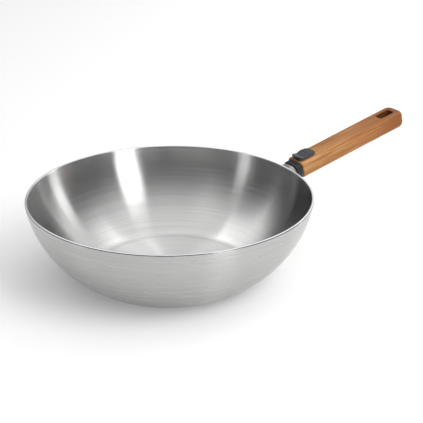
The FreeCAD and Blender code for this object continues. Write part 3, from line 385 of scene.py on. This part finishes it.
def layered_rim(name):
    """Skin, core and skin side by side, with scratches around the axis."""
    material, tree, shader = new_material(name)
    depth = maths(tree, "SUBTRACT", RIM_RADIUS, ring_place(tree)[2])
    share = maths(tree, "DIVIDE", depth, RIM_WIDTH)
    first, second = SKIN / RIM_WIDTH, 1 - SKIN / RIM_WIDTH
    layers = ramp(tree, share, [
        (first - BOND_SHARE, OUTER_SKIN_PAINTED_DARK), (first, BOND), (first + BOND_SHARE, CORE),
        (second - BOND_SHARE, CORE), (second, BOND), (second + BOND_SHARE, INNER_SKIN)])
    scratches = ring_noise(tree, *RIM_RINGS)
    worn = mixed(tree, spread(tree, scratches, 0.0, SCRATCH_SHARE), layers, SCRATCHED)
    in_core = maths(tree, "MULTIPLY", span(tree, share, first, first + BOND_SHARE, 0.0, 1.0),
                    span(tree, share, second - BOND_SHARE, second, 1.0, 0.0))
    rougher = maths(tree, "MULTIPLY", in_core, CORE_ROUGHER)
    polished = spread(tree, scratches, *SKIN_ROUGHNESS)
    fill(tree, shader, {
        "Base Color": worn, "Roughness": maths(tree, "ADD", rougher, polished),
        "Metallic": 1.0})
    return material


RIM_STEEL = layered_rim("rim_steel")
print("skins are", SKIN * 1000, "mm thick")

# %% [markdown]
# ## Helpers for Geometry Nodes
# A tree gets its sizes and its finishes through named inputs, so that it can be run again with
# others. It runs as a modifier on a carrier, an object with nothing but the points that the tree
# reads. What it makes is then kept as a plain mesh, and the carrier goes.

# %% Trees and carriers
def new_tree(name, inputs, output):
    """An empty tree, what it is given by name, and the socket for its result."""
    tree = bpy.data.node_groups.new(name, "GeometryNodeTree")
    for title, kind in inputs.items():
        tree.interface.new_socket(title, in_out="INPUT", socket_type="NodeSocket" + kind)
    tree.interface.new_socket(output, in_out="OUTPUT", socket_type="NodeSocketGeometry")
    given = tree.nodes.new("NodeGroupInput").outputs
    return tree, given, tree.nodes.new("NodeGroupOutput").inputs[output]


def new_object(name, data):
    """An object in the scene."""
    item = bpy.data.objects.new(name, data)
    bpy.context.scene.collection.objects.link(item)
    return item


def carrier_of(name, points, edges=()):
    """An object of points in order, for a tree to read."""
    mesh = bpy.data.meshes.new(name)
    mesh.from_pydata(points, edges, [])
    return new_object(name, mesh)


def settle(carrier, tree, values, name):
    """Runs a tree on a carrier and keeps what it makes as a plain piece."""
    modifier = carrier.modifiers.new("make", "NODES")
    modifier.node_group = tree
    identifiers = {item.name: item.identifier for item in tree.interface.items_tree}
    for title, value in values.items():
        modifier[identifiers[title]] = value
    bpy.context.view_layer.update()
    depsgraph = bpy.context.evaluated_depsgraph_get()
    mesh = bpy.data.meshes.new_from_object(carrier.evaluated_get(depsgraph))
    mesh.name = name
    bpy.data.objects.remove(carrier)
    return new_object(name, mesh)


print("tree helpers are ready")

# %% [markdown]
# ## Turning the outline
# The bowl could be spun from its outline in mesh code, but a tree can be given another outline
# or more segments later. It starts with a grid, which has one row of points for each point of
# the outline, and lays each row on a circle. A point's number tells its row and its column.

# %% A grid laid on circles
def turned_grid(tree, outline_points, segments):
    """A grid whose rows lie on circles through the points of the outline."""
    size = add(tree, "GeometryNodeAttributeDomainSize", {"Geometry": outline_points})
    columns = maths(tree, "ADD", segments, 1.0)
    grid = add(tree, "GeometryNodeMeshGrid", {
        "Vertices X": size.outputs["Point Count"], "Vertices Y": columns})
    index = add(tree, "GeometryNodeInputIndex").outputs["Index"]
    row = maths(tree, "FLOOR", maths(tree, "DIVIDE", maths(tree, "ADD", index, 0.5), columns))
    column = maths(tree, "MODULO", index, columns)
    turn = maths(tree, "DIVIDE", maths(tree, "MULTIPLY", column, 2 * math.pi), segments)
    position = add(tree, "GeometryNodeInputPosition").outputs["Position"]
    point = add(tree, "GeometryNodeSampleIndex", {
        "Geometry": outline_points, "Value": position, "Index": row},
        data_type="FLOAT_VECTOR")
    turned = add(tree, "ShaderNodeVectorRotate", {
        "Vector": point.outputs["Value"], "Axis": (0, 0, 1), "Angle": turn},
        rotation_type="AXIS_ANGLE")
    laid = add(tree, "GeometryNodeSetPosition", {
        "Geometry": grid.outputs["Mesh"], "Position": turned.outputs["Vector"]})
    return laid.outputs["Geometry"]


print("grid on circles is ready")

# %% [markdown]
# Merging closes the seam and the two poles. A grid laid this way round shows its back, so its
# faces are flipped to point out of the metal. A face's number tells its row, and the row tells
# whether it is outside, rim or inside.

# %% A tree that turns an outline
MERGE = 0.000001


def turning_tree():
    """Turns an outline around the axis and gives its rows three finishes."""
    tree, given, result = new_tree("turn_outline", {
        "Outline": "Geometry", "Segments": "Int", "Rim start": "Int", "Rim end": "Int",
        "Outside finish": "Material", "Rim finish": "Material", "Inside finish": "Material"},
        "Turned")
    grid = turned_grid(tree, given["Outline"], given["Segments"])
    closed = add(tree, "GeometryNodeMergeByDistance", {"Geometry": grid, "Distance": MERGE})
    outwards = add(tree, "GeometryNodeFlipFaces", {"Mesh": closed.outputs["Geometry"]})
    smooth = add(tree, "GeometryNodeSetShadeSmooth", {"Geometry": outwards.outputs["Mesh"]})
    real = add(tree, "GeometryNodeRealizeInstances", {"Geometry": smooth.outputs["Geometry"]})
    dressed = add(tree, "GeometryNodeSetMaterial", {
        "Geometry": real.outputs["Geometry"], "Material": given["Outside finish"]})
    index = add(tree, "GeometryNodeInputIndex").outputs["Index"]
    row = maths(tree, "FLOOR", maths(tree, "DIVIDE", index, given["Segments"]))
    for start, finish in (("Rim start", "Rim finish"), ("Rim end", "Inside finish")):
        after = add(tree, "FunctionNodeCompare", {"A": row, "B": given[start]},
                    operation="GREATER_EQUAL")
        dressed = add(tree, "GeometryNodeSetMaterial", {
            "Geometry": dressed.outputs["Geometry"], "Selection": after.outputs[0],
            "Material": given[finish]})
    tree.links.new(dressed.outputs["Geometry"], result)
    return tree


print("turning tree is ready")

# %% [markdown]
# Once it is turned, the bowl's volume is printed. Each face is the base of a cone with its tip at
# the origin. All these cones added up give the volume of a closed mesh, and the sum is positive
# only if the faces point outwards.

# %% Turn the bowl
SEGMENTS = 256


def volume(mesh):
    """Volume inside a closed mesh, in cubic metres."""
    return sum(face.center.dot(face.normal) * face.area for face in mesh.polygons) / 3


bowl = settle(carrier_of("bowl_outline", [(point.x, 0, point.y) for point in outline]),
              turning_tree(),
              {"Segments": SEGMENTS, "Rim start": RIM_START, "Rim end": RIM_END,
               "Outside finish": OUTSIDE_STEEL, "Rim finish": RIM_STEEL,
               "Inside finish": INSIDE_STEEL}, "bowl")
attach(bowl, "wok")
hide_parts("wok_bowl")
print("bowl has", len(bowl.data.polygons), "faces around",
      round(volume(bowl.data) * 1e6, 1), "cubic centimetres of metal")

# %% [markdown]
# ## Wood
# The grip is a solid piece of oiled hardwood, so its pattern is a solid one too: the same tree
# gives long streaks on the top and sides and rings on the ends. The point is first turned into
# the grip's frame. Growth rings are distances from a line well below the grip, bent by a slow
# noise, and each year ends in a thin dark layer of late wood.

# %% Growth rings
RING_WIDTH = 0.0026
RING_CENTRE = (0.0, -0.012, -0.052)
RING_DIRECTIONS = (0.06, 1, 1)  # the rings run nearly straight along the grip
BENDS = (9, 60, 60)
BENDS_IN_RINGS = 3.4
LATE_WOOD_POWER = 2.2  # the higher, the thinner the dark layer


def grip_point(tree):
    """The shading point in the grip's frame."""
    point = add(tree, "ShaderNodeTexCoord").outputs["Object"]
    turned = add(tree, "ShaderNodeMapping", {
        "Vector": point, "Location": grip_front, "Rotation": (0, -grip_tilt, 0)},
        vector_type="TEXTURE")
    return turned.outputs["Vector"]


def late_wood(tree, point):
    """From 0 in a year's early wood to 1 where the year ends."""
    bends = stretched_noise(tree, point, BENDS, detail=2.0)
    from_centre = vector_maths(tree, "SUBTRACT", point, RING_CENTRE)
    across = vector_maths(tree, "MULTIPLY", from_centre, RING_DIRECTIONS)
    rings = maths(tree, "DIVIDE", vector_maths(tree, "LENGTH", across), RING_WIDTH)
    bent = maths(tree, "ADD", rings, maths(tree, "MULTIPLY", bends, BENDS_IN_RINGS))
    return maths(tree, "POWER", maths(tree, "FRACT", bent), LATE_WOOD_POWER)


print("rings every", RING_WIDTH * 1000, "mm")

# %% [markdown]
# The wood is painted darker along the grip, a painted shade where less light reaches its far end.
# The walls of the hanging slot are end grain, darker in themselves, and are painted darker still
# with the shade inside the slot.

# %% Painted shade along the grip and in the slot
# the grip is painted darker towards its far end: painted shade where less light reaches it
PAINTED_SHADE_STRETCH = (0.02, 0.155)  # along the grip
PAINTED_SHADE_TONES = [(0.0, (1.0, 1.0, 1.0)), (0.6, (0.70, 0.56, 0.46)), (1.0, (0.30, 0.14, 0.06))]
SLOT_FADE = 0.0004


def painted_shade_tone(tree, point):
    """The colour by which the painted shade along the grip multiplies the wood's."""
    along = add(tree, "ShaderNodeSeparateXYZ", {0: point}).outputs["X"]
    return ramp(tree, span(tree, along, *PAINTED_SHADE_STRETCH, 0.0, 1.0), PAINTED_SHADE_TONES)


def in_hanging_slot(tree, point):
    """1 on the walls of the hanging slot, and 0 away from them."""
    parts = add(tree, "ShaderNodeSeparateXYZ", {0: point}).outputs
    ahead = maths(tree, "ABSOLUTE", maths(tree, "SUBTRACT", parts["X"], HANG_PLACE))
    aside = maths(tree, "ABSOLUTE", parts["Y"])
    within = [span(tree, distance, size / 2, size / 2 + SLOT_FADE, 1.0, 0.0)
              for distance, size in ((ahead, HANG_LENGTH), (aside, HANG_WIDTH))]
    return maths(tree, "MULTIPLY", *within)


print("oiled from", PAINTED_SHADE_STRETCH[0], "to", PAINTED_SHADE_STRETCH[1], "m along the grip")

# %% [markdown]
# The rest of the grain is three noises, squeezed across the grip and stretched along it: broad
# patches of tone, dark streaks, and pores as fine as hairs. A streak or a pore has an edge, so
# only the high values of its noise count.

# %% Tones and sizes of the grain
PATCHES = (26, 110, 90)
STREAKS = (17, 900, 760)
PORES = (420, 5200, 4200)
WOOD_TONES = [(0.25, (0.45, 0.21, 0.072)), (0.5, (0.60, 0.305, 0.114)),
              (0.78, (0.72, 0.41, 0.178))]
STREAK_TONE = (0.23, 0.078, 0.018)
STREAK_EDGES = (0.40, 0.62)  # where a streak starts and where it is full, as values of its noise
STREAK_SHARE = 0.8
LATE_TONE = (0.34, 0.15, 0.055)
LATE_SHARE = 0.42
PORE_TONE = (0.16, 0.065, 0.025)
PORE_EDGES = (0.66, 0.74)
PORE_SHARE = 0.45
# end grain, painted darker still with the shade inside the hanging slot
END_GRAIN_AND_SHADE_TONE = (0.13, 0.045, 0.014)
print("pores are", round(1000 / PORES[1], 2), "mm wide and", round(1000 / PORES[0], 1),
      "mm long")

# %% [markdown]
# The wood is built up in the order in which the eye finds it: patches of tone, the painted shade
# along the grip, streaks, late wood and pores, and last the painted shade in the hanging slot. The
# pores are also small pits, and the streaks stand up between them.

# %% Oiled hardwood
WOOD_ROUGHNESS = (0.42, 0.56)
WOOD_SPECULAR = 0.22
STREAK_HEIGHT = 0.5  # of a pore's depth
WOOD_RELIEF, WOOD_DEPTH = 0.35, 0.00008


def hardwood(name):
    """Oiled hardwood with its grain along the grip."""
    material, tree, shader = new_material(name)
    point = grip_point(tree)
    patches = stretched_noise(tree, point, PATCHES, detail=2.0)
    streaks = stretched_noise(tree, point, STREAKS, detail=4.0, roughness=0.66)
    pores = span(tree, stretched_noise(tree, point, PORES, detail=1.0), *PORE_EDGES, 0.0, 1.0)
    bare = ramp(tree, patches, WOOD_TONES)
    # painted shade: the wood darkens towards the grip's far end
    shaded_to_end = mixed(tree, 1.0, bare, painted_shade_tone(tree, point), blend="MULTIPLY")
    streaked = mixed(tree, span(tree, streaks, *STREAK_EDGES, 0.0, STREAK_SHARE), shaded_to_end,
                     STREAK_TONE)
    ringed = mixed(tree, maths(tree, "MULTIPLY", late_wood(tree, point), LATE_SHARE), streaked,
                   LATE_TONE)
    pored = mixed(tree, maths(tree, "MULTIPLY", pores, PORE_SHARE), ringed, PORE_TONE)
    # the hanging slot's walls: end grain, with painted shade inside the slot
    end_grain_and_slot_shade = mixed(tree, in_hanging_slot(tree, point), pored, END_GRAIN_AND_SHADE_TONE)
    height = maths(tree, "SUBTRACT", maths(tree, "MULTIPLY", streaks, STREAK_HEIGHT), pores)
    fill(tree, shader, {
        "Base Color": end_grain_and_slot_shade, "Roughness": spread(tree, streaks, *WOOD_ROUGHNESS),
        "Normal": relief(tree, height, WOOD_RELIEF, WOOD_DEPTH),
        "Specular IOR Level": WOOD_SPECULAR})
    return material


OILED_WOOD = hardwood("oiled_wood")
print("made", OILED_WOOD.name)

# %% [markdown]
# ## Plastic and rubber
# The collar, the slider and the hidden parts of the handle are moulded from dark glass-filled
# nylon. Its skin has a fine grain that catches light as many small glints, its gloss wanders in
# faint blotches, and its edges are painted slightly lighter, partly as wear and partly as a
# painted highlight along them. The seal is plain silicone rubber, blacker and duller. The lighter
# edges follow the Pointiness of the mesh, so only convex edges get them.

# %% Moulded plastic
BLOTCHES = (160, 160, 160)
BLOTCH_SHADES = (0.88, 1.1)  # times the colour
BLOTCH_GLOSS = (-0.05, 0.06)  # added to the roughness
SHARP_EDGES = (0.52, 0.60)  # the Pointiness where the wear and the painted highlight start and where they are full
WEAR_AND_HIGHLIGHT_BLOTCHES = (0.35, 0.60)
LEAST_WEAR_AND_HIGHLIGHT = 0.3
# edges painted lighter: wear, and a painted highlight along them
EDGE_WEAR_AND_HIGHLIGHT_SHADE, EDGE_WEAR_AND_HIGHLIGHT_LIFT = 1.9, 0.02
MOULD_RELIEF, MOULD_DEPTH = 0.3, 0.00006


def shades(colour, factors):
    """The same colour, once for each factor."""
    return [tuple(part * factor for part in colour) for factor in factors]


def moulded(name, colour, roughness, grain, wear_and_highlight=0.35, specular=0.5):
    """Dark plastic or rubber with a fine grain, faint blotches, and edges painted lighter for wear and a painted
    highlight.
    """
    material, tree, shader = new_material(name)
    point = add(tree, "ShaderNodeTexCoord").outputs["Object"]
    skin = stretched_noise(tree, point, (grain, grain, grain), detail=2.0, roughness=0.6)
    blotches = stretched_noise(tree, point, BLOTCHES)
    edges = add(tree, "ShaderNodeNewGeometry").outputs["Pointiness"]
    # lighter convex edges: wear, and a painted highlight along the edges
    wear_and_highlit_edges = maths(tree, "MULTIPLY", span(tree, edges, *SHARP_EDGES, 0.0, wear_and_highlight),
                   span(tree, blotches, *WEAR_AND_HIGHLIGHT_BLOTCHES, LEAST_WEAR_AND_HIGHLIGHT, 1.0))
    tone = mixed(tree, spread(tree, blotches, 0.0, 1.0), *shades(colour, BLOTCH_SHADES))
    edge_wear_and_highlight_colour = tuple(part * EDGE_WEAR_AND_HIGHLIGHT_SHADE + EDGE_WEAR_AND_HIGHLIGHT_LIFT for part in colour)
    gloss = [roughness + change for change in BLOTCH_GLOSS]
    fill(tree, shader, {
        "Base Color": mixed(tree, wear_and_highlit_edges, tone, edge_wear_and_highlight_colour),
        "Roughness": spread(tree, blotches, *gloss),
        "Normal": relief(tree, skin, MOULD_RELIEF, MOULD_DEPTH),
        "Specular IOR Level": specular})
    return material


SLIDER_PLASTIC = moulded("slider_plastic", (0.026, 0.030, 0.033), 0.38, 4200)
GREY_PLASTIC = moulded("collar_plastic", (0.013, 0.0135, 0.0145), 0.42, 3600)
SEAL_RUBBER = moulded("seal_rubber", grey(0.018), 0.62, 2600, wear_and_highlight=0.1, specular=0.3)
print("made", SLIDER_PLASTIC.name, GREY_PLASTIC.name, SEAL_RUBBER.name)

# %% [markdown]
# ## The other steels
# The bracket and the tongue are satin: fine scratches, all one way, along the handle. The small
# parts, the leaf, the pin, the coil, the rivets and the screws, are bright and a little smeared
# by oil. The bead of a weld is duller, with a skin of oxide. All are the same tree with other
# numbers.

# %% Satin, bright and welded steel
SMEARS = (90, 120, 120)
SCRATCH_SHADES = (0.86, 1.0)
SCRATCH_GLOSS = (-0.04, 0.04)
SMEAR_GLOSS = (-0.04, 0.07)
SCRATCH_DEPTH = 0.00004


def steel(name, colour, roughness, scratches_per_metre, anisotropy, scratch_relief):
    """Steel with scratches in the handle's frame and faint smears."""
    material, tree, shader = new_material(name)
    point = grip_point(tree)
    scratches = stretched_noise(tree, point, scratches_per_metre, roughness=0.6)
    smears = stretched_noise(tree, point, SMEARS)
    tone = mixed(tree, spread(tree, scratches, 0.0, 1.0), *shades(colour, SCRATCH_SHADES))
    smeared = [roughness + change for change in SMEAR_GLOSS]
    gloss = maths(tree, "ADD", spread(tree, scratches, *SCRATCH_GLOSS),
                  spread(tree, smears, *smeared))
    fill(tree, shader, {
        "Base Color": tone, "Roughness": gloss, "Metallic": 1.0, "Anisotropic": anisotropy,
        "Normal": relief(tree, scratches, scratch_relief, SCRATCH_DEPTH)})
    return material


SATIN_STEEL = steel("satin_steel", (0.40, 0.40, 0.395), 0.34, (120, 4200, 4200), 0.4, 0.35)
SPRING_STEEL = steel("spring_steel", (0.52, 0.52, 0.53), 0.20, (300, 2600, 2600), 0.2, 0.2)
SCREW_STEEL = steel("screw_steel", (0.48, 0.48, 0.50), 0.26, (1400, 1400, 1400), 0.0, 0.3)
WELD_STEEL = steel("weld_steel", (0.42, 0.41, 0.40), 0.40, (900, 900, 900), 0.0, 0.3)
print("made", SATIN_STEEL.name, SPRING_STEEL.name, SCREW_STEEL.name, WELD_STEEL.name)

# %% [markdown]
# ## The weld round the neck
# The neck is welded all round to the saddle, the plate that is bent to the wall. The bead lies
# where the two meet, so that line comes first. It starts as the neck's outline, a rectangle with
# corners so round that its sides are nearly half circles.

# %% The neck's outline
NECK_WIDTH = 0.0240
NECK_HEIGHT = 0.0164
NECK_CORNER = 0.0081
CORNER_STEPS = 10


def rounded_outline(width, height, corner):
    """Points around a rectangle with rounded corners, centred on the origin."""
    points = []
    for quarter, (across, up) in enumerate(((1, 1), (-1, 1), (-1, -1), (1, -1))):
        for step in range(CORNER_STEPS + 1):
            turn = math.pi / 2 * (quarter + step / CORNER_STEPS)
            points.append((across * (width / 2 - corner) + corner * math.cos(turn),
                           up * (height / 2 - corner) + corner * math.sin(turn)))
    return points


neck_outline = rounded_outline(NECK_WIDTH, NECK_HEIGHT, NECK_CORNER)
print("neck's outline has", len(neck_outline), "points")

# %% [markdown]
# Each point of the outline is then carried along the handle, towards the bowl, until the
# saddle's curved face is met. Halving the stretch between a place outside the steel and one
# inside it finds the spot, without a formula.

# %% Where the neck meets the saddle
SADDLE = 0.0020
SEARCH = 0.04  # how far the search goes from the grip's front face towards the bowl
HALVINGS = 30


def saddle_radius(height):
    """Distance of the saddle's outer face from the axis, at a height."""
    centre = bowl_centres()[1]
    return centre.x + math.sqrt((WALL_RADIUS + SADDLE) ** 2 - (height - centre.y) ** 2)


def landing(across, up):
    """Where a line along the handle meets the saddle."""
    near, far = -SEARCH, 0.0
    for _ in range(HALVINGS):
        middle = (near + far) / 2
        point = GRIP @ Vector((middle, across, up))
        if math.hypot(point.x, point.y) < saddle_radius(point.z):
            near = middle
        else:
            far = middle
    return GRIP @ Vector((far, across, up))


neck_joint = [landing(across, up) for across, up in neck_outline]
print("neck's joint runs from height", round(min(p.z for p in neck_joint), 4), "to",
      round(max(p.z for p in neck_joint), 4))

# %% [markdown]
# A bead is a tube laid along the joint, and its ripples come from the welder's even rhythm: the
# tube's radius follows a sine of the length along the joint, with a whole number of ripples, so
# that the bead closes.

# %% A tree that lays a rippled bead
BEAD_SIDES = 12
CUTS_PER_RIPPLE = 5.0
RIPPLE_SWELL = 0.1


def bead_tree():
    """A rippled tube along the points it is given."""
    tree, given, result = new_tree("lay_bead", {
        "Joint": "Geometry", "Radius": "Float", "Ripple": "Float", "Finish": "Material"},
        "Bead")
    path = add(tree, "GeometryNodeMeshToCurve", {"Mesh": given["Joint"]})
    even = add(tree, "GeometryNodeResampleCurve", {
        "Curve": path.outputs["Curve"],
        "Length": maths(tree, "DIVIDE", given["Ripple"], CUTS_PER_RIPPLE)}, mode="LENGTH")
    length = add(tree, "GeometryNodeSplineLength").outputs["Length"]
    ripples = maths(tree, "ROUND", maths(tree, "DIVIDE", length, given["Ripple"]))
    along = add(tree, "GeometryNodeSplineParameter").outputs["Factor"]
    phase = maths(tree, "MULTIPLY", maths(tree, "MULTIPLY", along, ripples), 2 * math.pi)
    swell = maths(tree, "MULTIPLY", maths(tree, "SINE", phase), RIPPLE_SWELL)
    ring = add(tree, "GeometryNodeCurvePrimitiveCircle", {
        "Resolution": BEAD_SIDES, "Radius": given["Radius"]})
    tube = add(tree, "GeometryNodeCurveToMesh", {
        "Curve": even.outputs["Curve"], "Profile Curve": ring.outputs["Curve"],
        "Scale": maths(tree, "ADD", 1.0, swell)})
    smooth = add(tree, "GeometryNodeSetShadeSmooth", {"Geometry": tube.outputs["Mesh"]})
    real = add(tree, "GeometryNodeRealizeInstances", {"Geometry": smooth.outputs["Geometry"]})
    finished = add(tree, "GeometryNodeSetMaterial", {
        "Geometry": real.outputs["Geometry"], "Material": given["Finish"]})
    tree.links.new(finished.outputs["Geometry"], result)
    return tree


print("bead tree is ready")

# %% [markdown]
# The joint's points are joined in a ring before the tree reads them, so that the tube has no
# ends. The bead belongs to the wok, and stays on it when the handle slides off.

# %% The bead round the neck
BEAD_RADIUS = 0.0006
RIPPLE = 0.0011

ring_edges = [(i, (i + 1) % len(neck_joint)) for i in range(len(neck_joint))]
neck_bead = settle(carrier_of("neck_joint", neck_joint, ring_edges), bead_tree(),
                   {"Radius": BEAD_RADIUS, "Ripple": RIPPLE, "Finish": WELD_STEEL},
                   "neck_bead")
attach(neck_bead, "wok")
print("bead has", len(neck_bead.data.polygons), "faces")

# %% [markdown]
# ## Which piece gets which finish
# The record names a slot for each piece, so one table from slot to material dresses every piece
# that keeps its own shape.

# %% Dress the pieces
FINISHES = {
    "brushed_steel": INSIDE_STEEL, "satin_steel": SATIN_STEEL, "spring_steel": SPRING_STEEL,
    "screw_steel": SCREW_STEEL, "wood": OILED_WOOD, "grey_plastic": GREY_PLASTIC,
    "slider_plastic": SLIDER_PLASTIC, "black_rubber": SEAL_RUBBER}

for row in frame["record"]["subparts"]:
    for material_slot in nodes[row["node"]].material_slots:
        material_slot.material = FINISHES[row["material_slot"]]

# %% [markdown]
# ## Floor and background
# The wok stands on a wide pale sheet that is also all of the background. For the camera and for
# reflections the sheet glows a little, which lifts it to white, and since that glow is added to
# the light that falls on it, the shadow under the wok stays.

# %% Floor
FLOOR_HALF = 20.0
FLOOR_TONE = 0.80
FLOOR_GLOW = 0.20
FLOOR_ROUGHNESS = 0.9
FLOOR_SPECULAR = 0.1


def pale_sheet(name, half, tone, glow):
    """A square floor that glows only for what looks at it."""
    mesh = bpy.data.meshes.new(name)
    corners = [(-half, -half, 0), (half, -half, 0), (half, half, 0), (-half, half, 0)]
    mesh.from_pydata(corners, [], [(0, 1, 2, 3)])
    sheet = new_object(name, mesh)
    material, tree, shader = new_material(name)
    rays = add(tree, "ShaderNodeLightPath").outputs
    seen = maths(tree, "MAXIMUM", rays["Is Camera Ray"], rays["Is Glossy Ray"])
    seen = maths(tree, "MAXIMUM", seen, rays["Is Transmission Ray"])
    fill(tree, shader, {
        "Base Color": (*grey(tone), 1), "Roughness": FLOOR_ROUGHNESS,
        "Specular IOR Level": FLOOR_SPECULAR, "Emission Color": (*grey(1.0), 1),
        "Emission Strength": maths(tree, "MULTIPLY", seen, glow)})
    mesh.materials.append(material)
    return sheet


floor = pale_sheet("floor", FLOOR_HALF, FLOOR_TONE, FLOOR_GLOW)
print("floor is", round(floor.dimensions.x, 1), "m wide")

# %% [markdown]
# ## Light: the room
# Polished and brushed metal shows the room, so the room matters as much as the lamps. Its
# ceiling is bright overhead, which gives the light floor of the bowl. Below the ceiling it is
# dark, which gives the darker walls. Only near the horizon there is a grey band again, so that a
# low view doesn't end in black behind the floor. The height of a direction is its Z, from 0 at
# the horizon to 1 overhead.

# %% World
ROOM_TONES = [(0.07, grey(0.45)), (0.15, grey(0.0)), (0.45, grey(0.0)),
              (0.65, grey(0.18)), (0.85, grey(1.05)), (1.0, grey(1.3))]

world = bpy.data.worlds.new("studio")
bpy.context.scene.world = world
world.use_nodes = True
sky = world.node_tree
towards = add(sky, "ShaderNodeTexCoord").outputs["Generated"]
height = add(sky, "ShaderNodeSeparateXYZ", {0: towards}).outputs["Z"]
fill(sky, sky.nodes["Background"], {"Color": ramp(sky, height, ROOM_TONES), "Strength": 1.0})
print("the room has", len(ROOM_TONES), "tones and is brightest overhead")

# %% [markdown]
# ## Light: the lamps
# Tall lamps draw the bright stripes up the walls. With scratches that run around the axis, a
# stripe stands where the direction halfway between lamp and eye has no part along the scratches.
# So a lamp's azimuth decides where its stripe stands, and its width how wide the stripe is. The
# outside of the wall gets a stripe too, on the other side of the wok. A lamp is therefore given
# by its direction, its size and its radiance, which is how bright it looks from the wok.

# %% A lamp
LAMP_DISTANCE = 2.0
LAMP_AIM = Vector((0, 0, 0.05))


def direction(azimuth, elevation):
    """A unit vector from angles in degrees."""
    around, above = math.radians(azimuth), math.radians(elevation)
    return Vector((math.cos(around) * math.cos(above), math.sin(around) * math.cos(above),
                   math.sin(above)))


def softbox(name, azimuth, elevation, width, height, radiance):
    """A rectangular lamp that faces the wok, seen from it at an azimuth and elevation."""
    light = bpy.data.lights.new(name, "AREA")
    light.shape = "RECTANGLE"
    light.size, light.size_y = width, height
    light.energy = radiance * math.pi * width * height
    lamp = new_object(name, light)
    lamp.location = LAMP_AIM + direction(azimuth, elevation) * LAMP_DISTANCE
    lamp.rotation_euler = direction(azimuth, elevation).to_track_quat("Z", "Y").to_euler()
    return lamp


print("lamps stand", LAMP_DISTANCE, "m from the wok")

# %% [markdown]
# Two lamps do only half of a lamp's work. The one behind is hidden from diffuse light, so that
# it shows in the steel and doesn't wash out the shadow in front. The one that casts the shade is
# hidden from reflections, so that it lights the floor, the wood and the plastic without a stripe
# of its own. Left and right are meant as the camera sees them.

# %% All the lamps
LAMPS = {  # azimuth and elevation in degrees, width and height in metres, and radiance
    "front_right": (-82, 24, 0.64, 1.6, 4.2),  # the brightest stripe, left of the middle
    "right": (24, 33, 1.8, 2.0, 1.1),  # the broad sheen at the left end of the inner wall
    "behind": (105, 43, 1.5, 1.2, 1.4),  # the broad sheen on the wall beside the handle
    "far_left": (170, 13, 0.36, 0.8, 1.5),  # the soft stripe right of the middle
    "low_right": (-7, 12, 0.40, 0.7, 3.2),  # the stripe between the left sheen and the brightest
    "low_right_thin": (14, 12, 0.12, 0.7, 1.8),  # a thin one beside it
    "shade_caster": (-66, 46, 1.0, 1.0, 4.6),  # the soft shadow on the floor
    "right_high": (-34, 50, 1.8, 1.0, 0.45),  # a faint sheen low on the wall, on the left
    "left_high": (-186, 53, 1.3, 1.0, 0.35)}  # and one on the right

lamps = {name: softbox(name, *numbers) for name, numbers in LAMPS.items()}
lamps["behind"].visible_diffuse = False
lamps["shade_caster"].visible_glossy = False
print("lamps:", ", ".join(lamps))

# %% [markdown]
# ## Camera
# A long lens from a little over a metre away, looking down into the bowl, so that the ellipse of
# the rim and the lean of the handle come out as the eye expects them.

# %% Camera
SENSOR = 36.0  # millimetres, as the lens
LENS = 97.6
CAMERA_PLACE = Vector((-0.5764, -0.9443, 0.5396))
CAMERA_AIM = Vector((0.0370, -0.0226, 0.0675))

camera_data = bpy.data.cameras.new("camera")
camera_data.sensor_width = SENSOR
camera_data.lens = LENS
camera = new_object("camera", camera_data)
camera.location = CAMERA_PLACE
look = CAMERA_AIM - CAMERA_PLACE
camera.rotation_euler = look.to_track_quat("-Z", "Y").to_euler()
bpy.context.scene.camera = camera
bpy.context.scene.view_settings.view_transform = "Standard"
print("camera is", round(look.length, 2), "m away and looks down by",
      round(math.degrees(math.asin(-look.z / look.length)), 1), "degrees")
